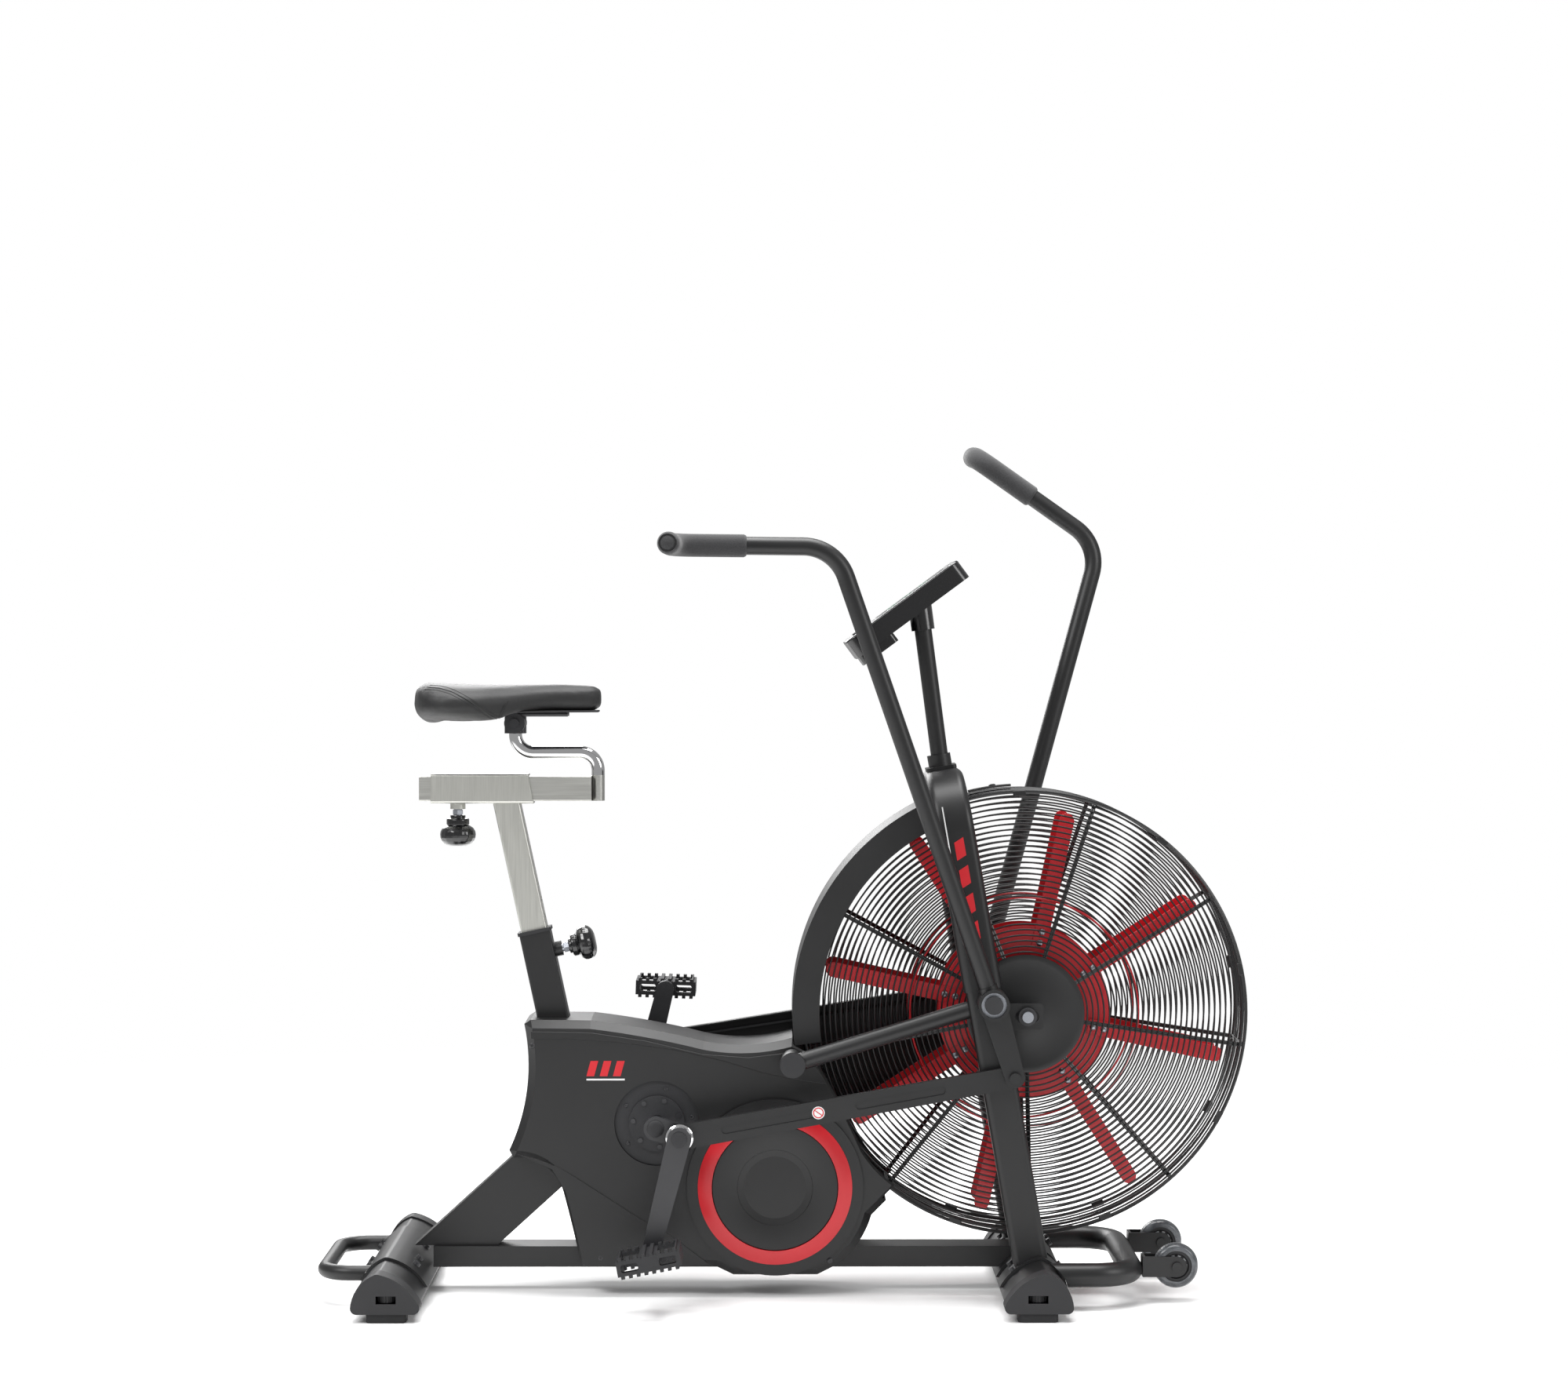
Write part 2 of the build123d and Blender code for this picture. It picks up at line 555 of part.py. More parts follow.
def rocker_angle(side):
    """Degrees that a rocker points forward of straight down at rest. The left one hangs from an
    equally long rod on the opposite journal, so its angle comes from the law of cosines."""
    if side == RIGHT:
        return ROCKER_ANGLE
    x, z = journal(LEFT)
    span = math.dist((x, z), (PIVOT_X, PIVOT_Z))
    inner = math.acos((ROCKER**2 + span**2 - rod_length() ** 2) / (2 * ROCKER * span))
    to_journal = math.atan2(x - PIVOT_X, PIVOT_Z - z)
    return math.degrees(to_journal + inner)


def rocker_pin(side):
    return polar(PIVOT_X, PIVOT_Z, ROCKER, rocker_angle(side) - 90)


def bar_points(side):
    """Route of a handlebar tube's centre line at rest, from its pivot to the grip's end."""
    x, y, z = BAR_CORNER
    x2, y2, z2 = BAR_END
    points = [(PIVOT_X, BAR_START_Y, PIVOT_Z), (x, y, z), (x2, y2, z2), (x2 - 6, GRIP_OUT_Y, z2 + 2)]
    turn = math.radians(rocker_angle(RIGHT) - rocker_angle(side))
    placed = []
    for px, py, pz in points:
        dx, dz = px - PIVOT_X, pz - PIVOT_Z
        placed.append((PIVOT_X + dx * math.cos(turn) + dz * math.sin(turn), -side * py,
                       PIVOT_Z - dx * math.sin(turn) + dz * math.cos(turn)))
    return [Vector(*point) for point in placed]


def handlebars():
    with BuildPart() as bearings:
        for side in (RIGHT, LEFT):
            for y in (HUB_Y0 + 2, HUB_Y1 - 22):
                disc(side, PIVOT_X, PIVOT_Z, HUB_BORE - RUN, y, y + 12)
            disc(side, PIVOT_X, PIVOT_Z, PIVOT_R, HUB_Y0, HUB_Y1, mode=Mode.SUBTRACT)
    write(bearings, "pivot_bearings")
    for side in (RIGHT, LEFT):
        points = bar_points(side)
        pin = rocker_pin(side)
        along = (points[1] - points[0]).normalized()
        tube_start, socket = points[0] + along * 27, points[0] + along * 110
        with BuildPart() as rocker:
            disc(side, PIVOT_X, PIVOT_Z, HUB_R, HUB_Y0, HUB_Y1)
            tapered_arm(side, (PIVOT_X, PIVOT_Z), pin, HUB_R - 3, 14, LUG_Y0, LUG_Y1)
            rod(points[0], socket, HANDLE_BAR_R - WALL - 0.1)
            rod(points[0], tube_start, HANDLE_BAR_R + 1.5)
            disc(side, PIVOT_X, PIVOT_Z, HUB_BORE, HUB_Y0 - 1, HUB_Y1 + 1, mode=Mode.SUBTRACT)
            disc(side, *pin, 8, ROD_Y1 + FIT, LUG_Y1 + 7)
        write(rocker, f"{NAMES[side]}_rocker")
        with BuildPart() as tube:
            with BuildLine() as path:
                FilletPolyline(tube_start, *points[1:], radius=(64, 34))
            with BuildSketch(Plane(path.line @ 0, z_dir=path.line % 0)):
                Circle(HANDLE_BAR_R)
                Circle(HANDLE_BAR_R - WALL, mode=Mode.SUBTRACT)
            sweep()
        write(tube, f"{NAMES[side]}_handlebar")
        back = (points[1] - points[2]).normalized()
        out = (points[3] - points[2]).normalized()
        with BuildPart() as grip:
            with BuildLine() as path:
                FilletPolyline(points[2] + back * 102, points[2], points[3] + out * 3, radius=34)
            with BuildSketch(Plane(path.line @ 0, z_dir=path.line % 0)):
                Circle(GRIP_R)
            sweep()
            with BuildLine() as hole:
                FilletPolyline(points[2] + back * 103, points[2], points[3], radius=34)
            with BuildSketch(Plane(hole.line @ 0, z_dir=hole.line % 0)):
                Circle(HANDLE_BAR_R + 0.05)
            sweep(mode=Mode.SUBTRACT)
        write(grip, f"{NAMES[side]}_grip")


# crank and rods


def tapered_arm(side, start, end, radius0, radius1, y0, y1):
    """A flat arm whose outline is the hull of two circles, in the open BuildPart."""
    with BuildSketch(side_plane(side, y0)) as face:
        with BuildLine():
            CenterArc(start, radius0, 0, 360)
            CenterArc(end, radius1, 0, 360)
        make_hull()
    extrude(face.sketch, amount=side * (y1 - y0))


def crankset():
    centre = (CRANK_X, CRANK_Z)
    with BuildPart() as spindle:
        disc(RIGHT, *centre, SPINDLE_R, -INNER_Y1, INNER_Y1)
    write(spindle, "crank_spindle")
    with BuildPart() as inner:
        for side in (RIGHT, LEFT):
            tapered_arm(side, centre, journal(side), 17, 16, INNER_Y0, INNER_Y1)
            disc(side, *centre, 15, INNER_Y0 - 14, INNER_Y0)
            disc(side, *centre, SPINDLE_R, INNER_Y0 - 15, INNER_Y1 + 1, mode=Mode.SUBTRACT)
            disc(side, *journal(side), JOURNAL_PIN_R, INNER_Y1 - 1, ARM_Y1)
            disc(side, *journal(side), 16, INNER_Y1, ROD_Y0 - FIT)
            disc(side, *journal(side), 15, ROD_Y1 + FIT, ARM_Y0)
    write(inner, "inner_cranks")
    for side in (RIGHT, LEFT):
        pedal = polar(*centre, CRANK_R, PEDAL_ANGLE + (180 if side == LEFT else 0))
        with BuildPart() as arm:
            tapered_arm(side, journal(side), pedal, 17, 13, ARM_Y0, ARM_Y1)
            disc(side, *journal(side), JOURNAL_PIN_R, ARM_Y0 - 1, ARM_Y1 + 1, mode=Mode.SUBTRACT)
            disc(side, *journal(side), 11, ARM_Y1, ARM_Y1 + 2)
            disc(side, *pedal, 9, ARM_Y1, PEDAL_Y0 - FIT)
            disc(side, *pedal, PEDAL_PIN_R, PEDAL_Y0 - FIT, PEDAL_Y1 - 6)
        write(arm, f"{NAMES[side]}_crank_arm")
        with BuildPart() as platform:
            with BuildSketch(side_plane(side, PEDAL_Y0)):
                with Locations(Location((*pedal, 0), (0, 0, PEDAL_TILT[side]))):
                    pedal_profile()
            extrude(amount=side * (PEDAL_Y1 - PEDAL_Y0))
            flat = Plane(origin=(pedal[0], -side * (PEDAL_Y0 + PEDAL_Y1) / 2, pedal[1])).rotated(
                (0, -PEDAL_TILT[side], 0))
            with BuildSketch(flat.offset(-20)):
                with Locations((-26, 0), (26, 0)):
                    RectangleRounded(26, 62, 4)
            extrude(amount=40, mode=Mode.SUBTRACT)
            disc(side, *pedal, PEDAL_PIN_R + RUN, PEDAL_Y0 - 1, PEDAL_Y1 - 5, mode=Mode.SUBTRACT)
        write(platform, f"{NAMES[side]}_pedal")


def pedal_profile():
    """The pedal's toothed side view, with a window each side of the axle, in the open BuildSketch."""
    Rectangle(PEDAL_LENGTH, 21)
    with GridLocations(11, 24, 8, 2):
        Rectangle(5, 5)
    with Locations((-27, 0), (27, 0)):
        RectangleRounded(24, 11, 3, mode=Mode.SUBTRACT)


def link_rods():
    for side in (RIGHT, LEFT):
        start, end = journal(side), rocker_pin(side)
        angle = math.degrees(math.atan2(end[1] - start[1], end[0] - start[0]))
        length = rod_length()
        with BuildPart() as link:
            tapered_arm(side, start, end, 17.5, 15.5, ROD_Y0, ROD_Y1)
            with BuildSketch(side_plane(side, ROD_Y1 - 2)):
                for along, groove in ((0.28, 150), (0.66, 130)):
                    with Locations(Location((*polar(*start, length * along, angle), 0), (0, 0, angle))):
                        SlotOverall(groove, 12)
            extrude(amount=side * 3, mode=Mode.SUBTRACT)
            disc(side, *start, JOURNAL_PIN_R + RUN, ROD_Y0 - 1, ROD_Y1 + 1, mode=Mode.SUBTRACT)
            disc(side, *end, 8, ROD_Y0 - 1, ROD_Y1 + 1, mode=Mode.SUBTRACT)
        write(link, f"{NAMES[side]}_link_rod")


# belt drive and fan


def belt_line(grow_drive, grow_driven):
    """The hull of the two pulleys' circles, each grown, in the open BuildSketch."""
    with BuildLine() as circles:
        CenterArc((CRANK_X, CRANK_Z), DRIVE_R + grow_drive, 0, 360)
        CenterArc((FAN_X, FAN_Z), DRIVEN_R + grow_driven, 0, 360)
    make_hull(circles.edges())


def belt_drive():
    middle = (BELT_Y0 + BELT_Y1) / 2
    with BuildPart() as pulley:
        disc(LEFT, CRANK_X, CRANK_Z, DRIVE_R, BELT_Y0, BELT_Y1)
        with BuildSketch(side_plane(LEFT, BELT_Y0 - 1)):
            with Locations((CRANK_X, CRANK_Z)):
                with PolarLocations(60, 6):
                    Circle(22)
        extrude(amount=LEFT * 20, mode=Mode.SUBTRACT)
        disc(LEFT, CRANK_X, CRANK_Z, 20, BELT_Y0 - 3, BELT_Y1 + 1)
        disc(LEFT, CRANK_X, CRANK_Z, SPINDLE_R, BELT_Y0 - 10, BELT_Y1 + 10, mode=Mode.SUBTRACT)
    write(pulley, "crank_pulley")
    with BuildPart() as driven:
        disc(LEFT, FAN_X, FAN_Z, DRIVEN_R, BELT_Y0, BELT_Y1)
        disc(LEFT, FAN_X, FAN_Z, 15, 49.2, BELT_Y0)
        disc(LEFT, FAN_X, FAN_Z, FAN_AXLE_R + RUN, 40, BELT_Y1 + 1, mode=Mode.SUBTRACT)
    write(driven, "fan_pulley")
    with BuildPart() as belt:
        with BuildSketch(side_plane(LEFT, middle - 3.5)):
            belt_line(BELT_THICK + 0.1, BELT_THICK + 0.1)
            with BuildSketch(mode=Mode.PRIVATE) as inside:
                belt_line(0.1, 0.1)
            add(inside.sketch, mode=Mode.SUBTRACT)
        extrude(amount=LEFT * 7)
    write(belt, "drive_belt")
    x, z, radius = CROSS_TUBE
    with BuildPart() as guard:
        with BuildSketch(side_plane(LEFT, BELT_COVER_Y0)):
            belt_line(14, 20)
        extrude(amount=LEFT * (BELT_COVER_Y1 - BELT_COVER_Y0))
        fillet(guard.faces().sort_by(Axis.Y)[-1].edges(), radius=5)
        with BuildSketch(side_plane(LEFT, BELT_COVER_Y0 - 1)):
            belt_line(12, 18)
        extrude(amount=LEFT * (BELT_COVER_Y1 - BELT_COVER_Y0 - 1), mode=Mode.SUBTRACT)
        disc(LEFT, CRANK_X, CRANK_Z, 12, BELT_COVER_Y0, BELT_COVER_Y1 + 1, mode=Mode.SUBTRACT)
        disc(LEFT, FAN_X, FAN_Z, FAN_AXLE_R + 1, BELT_COVER_Y0, BELT_COVER_Y1 + 1, mode=Mode.SUBTRACT)
        disc(LEFT, x, z, radius + 0.2, BELT_COVER_Y0, BELT_COVER_Y1 + 1, mode=Mode.SUBTRACT)
    write(guard, "belt_guard")


def radial_plane(degrees):
    """The plane through the fan's axis at an angle. Its local x is the radius and its local y is +Y."""
    a = math.radians(degrees)
    return Plane(origin=(FAN_X, 0, FAN_Z), x_dir=(math.cos(a), 0, math.sin(a)),
                 z_dir=(-math.sin(a), 0, math.cos(a)))


def fan():
    axis = (FAN_X, FAN_Z)
    with BuildPart() as axle:
        disc(RIGHT, *axis, FAN_AXLE_R, -128, 128)
    write(axle, "fan_axle")
    with BuildPart() as hub:
        disc(RIGHT, *axis, 24, -43, 43)
        for side in (RIGHT, LEFT):
            disc(side, *axis, FAN_DISC_R, 43, 45)
        disc(RIGHT, *axis, FAN_AXLE_R + RUN, -50, 50, mode=Mode.SUBTRACT)
    write(hub, "fan_hub")
    with BuildPart() as blades:
        for index in range(BLADE_COUNT):
            angle = FIRST_BLADE + index * 360 / BLADE_COUNT
            plane = radial_plane(angle)
            with BuildSketch(plane):
                for y in (-BLADE_HALF + 0.2, BLADE_HALF - 0.2):
                    with Locations(((BLADE_R + 94) / 2, y)):
                        Rectangle(BLADE_R - 94, 1.5)
            extrude(amount=FLANGE / 2, both=True)
            with BuildSketch(plane):
                with Locations(((BLADE_R + 126) / 2, 0)):
                    Rectangle(BLADE_R - 128, 2 * BLADE_HALF)
            extrude(amount=0.8, both=True)
        for side in (RIGHT, LEFT):
            with BuildSketch(side_plane(side, BLADE_HALF)):
                with Locations(axis):
                    Circle(166.5)
                    Circle(163.5, mode=Mode.SUBTRACT)
            extrude(amount=side * 3)
    write(blades, "fan_blades")


def wire_y(radius):
    """How far the grille's wires stand from the middle plane at a radius."""
    return PLATE_Y - (radius - PLATE_R) * (PLATE_Y - RIM_Y) / (CAGE_R - PLATE_R)


def grilles():
    """Each half of the cage: dished rings on radial ribs, a centre plate and half of the side wall."""
    around = Axis((FAN_X, 0, FAN_Z), (0, 1, 0))
    half = CAGE_WIRE / 2
    for side in (RIGHT, LEFT):
        with BuildPart() as grille:
            with BuildSketch(radial_plane(0)):
                for index in range(RING_COUNT):
                    radius = PLATE_R + 5 + RING_PITCH * index
                    with Locations((radius, -side * wire_y(radius))):
                        Rectangle(CAGE_WIRE, CAGE_WIRE)
                for y in (4, 24, 44, RIM_Y):
                    with Locations((CAGE_R - half, -side * y)):
                        Rectangle(CAGE_WIRE, CAGE_WIRE)
            revolve(axis=around)
            disc(side, FAN_X, FAN_Z, PLATE_R, PLATE_Y - 1.2, PLATE_Y + 0.8)
            for index in range(RIB_COUNT):
                with BuildSketch(radial_plane(FIRST_RIB + index * 360 / RIB_COUNT)):
                    inner, outer = PLATE_R - 14, CAGE_R - half
                    with BuildLine():
                        Polyline((inner, -side * (PLATE_Y - 4)), (inner, -side * (PLATE_Y - 1)),
                                 (PLATE_R, -side * (PLATE_Y - 1)), (outer, -side * (RIM_Y - 1)),
                                 (outer, -side * 0.2), (outer - 3, -side * 0.2),
                                 (outer - 3, -side * (RIM_Y - 4)), close=True)
                    make_face()
                extrude(amount=half, both=True)
            hole = 17 if side == LEFT else FAN_AXLE_R + 0.5
            disc(side, FAN_X, FAN_Z, hole, PLATE_Y - 10, PLATE_Y + 5, mode=Mode.SUBTRACT)
        write(grille, f"{NAMES[side]}_grille")


def fan_guard():
    """A channel over the cage's rear rim."""
    with BuildPart() as guard:
        with BuildSketch(Plane.XZ):
            ring_sector(FAN_X, FAN_Z, GUARD_INNER, GUARD_R, GUARD_FROM, GUARD_TO)
        extrude(amount=GUARD_Y, both=True)
        with BuildSketch(Plane.XZ):
            ring_sector(FAN_X, FAN_Z, GUARD_INNER - 5, GUARD_R - WALL, GUARD_FROM - 5, GUARD_TO + 5)
        extrude(amount=GUARD_Y - WALL, both=True, mode=Mode.SUBTRACT)
    write(guard, "fan_guard")


# covers


def casing_outline(inset=0.0):
    """The casing's side view in the open BuildSketch, drawn in by inset."""
    with BuildLine() as line:
        Line((-336, 392), (-327, 398))
        Line((-327, 398), (-240, 397))
        ThreePointArc((-240, 397), (-160, 385), (-77, 367))
        ThreePointArc((-77, 367), (-14, 362), (50, 372))
        Line((50, 372), (86, 353))
        ThreePointArc((86, 353), (116, 300), (158, 214))
        ThreePointArc((158, 214), (182, 184), (210, 162))
        Line((210, 162), (164, 116))
        ThreePointArc((164, 116), (145, 76), (112, 43))
        Line((112, 43), (86, 30))
        Line((86, 30), (-35, 30))
        Line((-35, 30), (-60, 42))
        Line((-60, 42), (-254, 42))
        ThreePointArc((-254, 42), (-266, 95), (-280, 150))
        ThreePointArc((-280, 150), (-300, 182), (-352, 199))
        Line((-352, 199), (-358, 210))
        ThreePointArc((-358, 210), (-332, 300), (-336, 392))
    make_face(line.edges())
    if inset:
        offset(amount=-inset, kind=Kind.INTERSECTION, mode=Mode.REPLACE)


def casing_slab(side, inset, mode=Mode.ADD):
    """One half of the casing as a solid in the open BuildPart, with its long outer edge chamfered."""
    flat = CASING_Y - CASING_CHAMFER
    with BuildSketch(Plane.XZ) as face:
        casing_outline(inset)
    extrude(face.sketch, amount=side * flat, mode=mode)
    with BuildSketch(side_plane(side, flat)) as face:
        casing_outline(inset)
    extrude(face.sketch, amount=side * (CASING_CHAMFER - inset), taper=40, mode=mode)


def casings():
    for side in (RIGHT, LEFT):
        with BuildPart() as shell:
            casing_slab(side, 0)
            disc(side, RING_X, RING_Z, BULGE_R, CASING_Y - CASING_WALL, BULGE_Y)
            casing_slab(side, CASING_WALL, mode=Mode.SUBTRACT)
            disc(side, RING_X, RING_Z, BULGE_R - 2, CASING_Y - CASING_WALL - 1, BULGE_Y - CASING_WALL,
                 mode=Mode.SUBTRACT)
            block(-600, 600, -RAIL_HALF - 1, RAIL_HALF + 1, 0, RAIL_Z1 + 1, mode=Mode.SUBTRACT)
            disc(side, FAN_X, FAN_Z, CAGE_R + 15.5, -1, RIM_Y + 6.5, mode=Mode.SUBTRACT)
            disc(side, CRANK_X, CRANK_Z, RECESS_R, CASING_Y - 30, CASING_Y + 1, mode=Mode.SUBTRACT)
            disc(side, *CROSS_TUBE[:2], CROSS_TUBE[2] + 0.2, -1, CASING_Y + 9, mode=Mode.SUBTRACT)
            disc(side, RING_X, RING_Z, RING_INNER - 0.5, BULGE_Y - 1, BULGE_Y + 1, mode=Mode.SUBTRACT)
            square_bar(SEAT_TUBE + 1, 0, 300, mode=Mode.SUBTRACT)
            with BuildSketch(Plane.XZ):
                diagonal_outline(1)
            extrude(amount=21, both=True, mode=Mode.SUBTRACT)
            with BuildSketch(Plane.XZ):
                Rectangle(2000, 2000)
            extrude(amount=-side * 100, mode=Mode.SUBTRACT)
        write(shell, f"{NAMES[side]}_casing")


def cover_trim():
    with BuildPart() as rings:
        for side in (RIGHT, LEFT):
            with BuildSketch(side_plane(side, BULGE_Y + 0.05)):
                with Locations((RING_X, RING_Z)):
                    Circle(RING_R)
                    Circle(RING_INNER, mode=Mode.SUBTRACT)
            extrude(amount=side * 1.2)
    write(rings, "cover_rings")
    with BuildPart() as covers:
        for side in (RIGHT, LEFT):
            disc(side, CRANK_X, CRANK_Z, RECESS_R - 0.3, CASING_Y - 7, CASING_Y - 4)
            disc(side, CRANK_X, CRANK_Z, 40, CASING_Y - 4, CASING_Y)
            disc(side, CRANK_X, CRANK_Z, SPINDLE_R + 2, CASING_Y - 10, CASING_Y + 5, mode=Mode.SUBTRACT)
    write(covers, "bearing_covers")
    with BuildPart() as bearings:
        for side in (RIGHT, LEFT):
            disc(side, CRANK_X, CRANK_Z, 20.98, 38, 52)
            disc(side, CRANK_X, CRANK_Z, SPINDLE_R + RUN, 30, 60, mode=Mode.SUBTRACT)
    write(bearings, "crank_bearings")


def frame_fasteners():
    """Bolts over the stabilizers, axle nuts, pivot nuts, casing and cover screws, as separate solids."""
    with BuildPart() as bolts:
        for end, rows in (("rear", (52, 100)), ("front", (97, 141))):
            x, lean = STABILIZERS[end]
            for y in rows:
                for side in (RIGHT, LEFT):
                    for dx, dz, nx, nz in ((-23, 34, -0.65, 0.76), (37, 33, 0.83, 0.56)):
                        foot = Vector(x + lean * (dx + nx * 4.4), -side * y, FOOT_Z + dz + nz * 4.4)
                        rod(foot, foot + Vector(lean * nx, 0, nz) * 5, 5.5)
        for side in (RIGHT, LEFT):
            outside = LEG_Y - LEG_DEPTH / 2
            disc(side, FAN_X, FAN_Z, 13, outside + 6, outside + 14)
            disc(side, FAN_X, FAN_Z, FAN_AXLE_R, outside, outside + 20, mode=Mode.SUBTRACT)
            disc(side, PIVOT_X, PIVOT_Z, 13, HUB_Y1 - 8, HUB_Y1 - 2)
            for index in range(7):
                x, z = polar(CRANK_X, CRANK_Z, 34, 20 + index * 360 / 7)
                disc(side, x, z, 3.5, CASING_Y, CASING_Y + 2)
    write(bolts, "frame_fasteners")


# console


def console_plane(height=0.0):
    """The console's sloping face, at a height above it. Its local x goes forward up the slope."""
    a = math.radians(CONSOLE_SLOPE)
    plane = Plane(origin=(CONSOLE_TOP[0], 0, CONSOLE_TOP[1]), x_dir=(math.cos(a), 0, math.sin(a)),
                  z_dir=(-math.sin(a), 0, math.cos(a)))
    return plane.offset(height)


def console():
    buttons = ((-74, 28), (-74, -28))
    with BuildPart() as housing:
        with BuildSketch(console_plane(-CONSOLE_THICK)):
            RectangleRounded(CONSOLE_LENGTH, CONSOLE_WIDTH, 16)
        extrude(amount=CONSOLE_THICK)
        fillet(housing.faces().sort_by(SortBy.AREA)[-1].edges(), radius=3)
        with BuildSketch(console_plane(-CONSOLE_THICK - 14)):
            with Locations((-66, 0)):
                RectangleRounded(62, 96, 8)
        extrude(amount=16)
        with BuildSketch(console_plane(-1.5)):
            with Locations((20, 0)):
                RectangleRounded(120, 130, 6)
        extrude(amount=3, mode=Mode.SUBTRACT)
        with BuildSketch(console_plane(-6)):
            with Locations(*buttons):
                RectangleRounded(18, 30, 5)
        extrude(amount=8, mode=Mode.SUBTRACT)
        top = Vector(MAST_TOP[0], 0, MAST_TOP[1])
        base = leg_plane(RIGHT, FORK_TOP + LEG_DEPTH / 2, 0).origin
        down = (base - top).normalized()
        with BuildSketch(Plane(origin=top + down * 14, z_dir=-down)):
            Circle(17)
        extrude(until=Until.NEXT)
        rod(top - down * 0.5, top + down * 20, 12.6, mode=Mode.SUBTRACT)
    write(housing, "console_housing")
    with BuildPart() as screen:
        with BuildSketch(console_plane(-1.4)):
            with Locations((20, 0)):
                RectangleRounded(119.4, 129.4, 5.7)
        extrude(amount=1.4)
    write(screen, "console_screen")
    for index, place in enumerate(buttons, start=1):
        with BuildPart() as button:
            with BuildSketch(console_plane(-3.5)):
                with Locations(place):
                    RectangleRounded(17.4, 29.4, 4.7)
            extrude(amount=5)
        write(button, f"console_button_{index}")


stabilizers()
stabilizer_caps()
levellers()
base_rail()
loops()
transport_wheels()
diagonal_frame()
seat_tube()
seat_post()
seat_slider()
saddle_pad()
knobs()
front_posts()
front_fork()
console_mast()
fan_stays()
handlebars()
crankset()
link_rods()
belt_drive()
fan()
grilles()
fan_guard()
casings()
cover_trim()
frame_fasteners()
console()
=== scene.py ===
# Air bike: a caged, belt-driven fan with swinging handlebars, around the CAD frame.
# Lengths are in metres, in the frame's own axes: +X forward, +Y to the rider's left, +Z up. Outlines and
# routes listed as bare numbers are millimetres, with X from the datum, and are turned to metres where used.
import json
import math

import bpy
import numpy as np
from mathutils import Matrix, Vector
from mathutils.bvhtree import BVHTree


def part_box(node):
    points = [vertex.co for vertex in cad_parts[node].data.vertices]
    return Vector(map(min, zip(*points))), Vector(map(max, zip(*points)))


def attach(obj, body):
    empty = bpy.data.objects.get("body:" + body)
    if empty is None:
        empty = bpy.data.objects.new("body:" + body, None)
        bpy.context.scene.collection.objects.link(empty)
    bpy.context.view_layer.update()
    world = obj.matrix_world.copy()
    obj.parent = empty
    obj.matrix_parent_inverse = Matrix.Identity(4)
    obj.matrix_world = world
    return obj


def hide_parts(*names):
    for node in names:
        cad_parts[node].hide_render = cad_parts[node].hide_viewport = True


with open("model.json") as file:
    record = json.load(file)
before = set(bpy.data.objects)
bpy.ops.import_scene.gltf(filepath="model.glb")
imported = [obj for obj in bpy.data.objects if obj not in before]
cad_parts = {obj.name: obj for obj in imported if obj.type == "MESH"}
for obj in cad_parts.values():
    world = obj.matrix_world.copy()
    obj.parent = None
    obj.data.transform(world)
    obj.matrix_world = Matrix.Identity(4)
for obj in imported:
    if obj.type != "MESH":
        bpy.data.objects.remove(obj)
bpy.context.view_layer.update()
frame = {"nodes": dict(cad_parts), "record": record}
joints = {joint["name"]: joint for joint in frame["record"]["behaviour"]["joints"]}
mm = 0.001
sides = {"right": -1, "left": 1}


def pivotOf(jointName):
    return np.array(joints[jointName]["pos_m"], float)


fanCentre = pivotOf("fan_spin")
crankCentre = pivotOf("crank_spin")
handlePivot = pivotOf("right_handle_swing")
rockerPin = {"right": np.array((31.2 * mm, 0, -105.5 * mm)), "left": np.array((-34.6 * mm, 0, -104.4 * mm))}
datumX = fanCentre[0] - 385 * mm  # the X from which the frame's drawing measures its lengths
print("frame loaded: fan centre", fanCentre, "crank", crankCentre)


def gridFaces(rows, columns, closeRows=False, closeColumns=True):
    # Quads of a grid: each joins a point to its next along the row and along the column
    rowIndex = np.arange(rows if closeRows else rows - 1)
    columnIndex = np.arange(columns if closeColumns else columns - 1)
    r, c = np.meshgrid(rowIndex, columnIndex, indexing="ij")
    r2, c2 = (r + 1) % rows, (c + 1) % columns
    quads = np.stack([r * columns + c, r * columns + c2, r2 * columns + c2, r2 * columns + c], axis=-1)
    return quads.reshape(-1, 4)


def gridShape(points, closeRows=False, closeColumns=True, caps=True):
    # A grid of points as (points, faces); open ends are closed by a fan about their middle
    rows, columns = points.shape[:2]
    quads = gridFaces(rows, columns, closeRows, closeColumns)
    faces = [tuple(q) for q in quads.tolist()]
    flat = points.reshape(-1, 3)
    if caps and not closeRows:
        ends = np.stack([points[0].mean(axis=0), points[-1].mean(axis=0)])
        start, count = len(flat), columns
        flat = np.concatenate([flat, ends])
        last = (rows - 1) * columns
        for k in range(count):
            k2 = (k + 1) % count
            faces.append((start, k2, k))
            faces.append((start + 1, last + k, last + k2))
    return flat, faces


def joined(shapes):
    # Several (points, faces) as one, each shape's indices moved past those before it
    points, faces, offset = [], [], 0
    for shapePoints, shapeFaces in shapes:
        points.append(shapePoints)
        faces.extend(tuple(i + offset for i in face) for face in shapeFaces)
        offset += len(shapePoints)
    return np.concatenate(points), faces


def makeActive(piece):
    bpy.context.view_layer.objects.active = piece
    bpy.ops.object.select_all(action="DESELECT")
    piece.select_set(True)


def applyModifier(piece, name):
    makeActive(piece)
    bpy.ops.object.modifier_apply(modifier=name)


def meshPoints(mesh):
    # every vertex of a mesh as one array
    points = np.empty(len(mesh.vertices) * 3)
    mesh.vertices.foreach_get("co", points)
    return points.reshape(-1, 3)


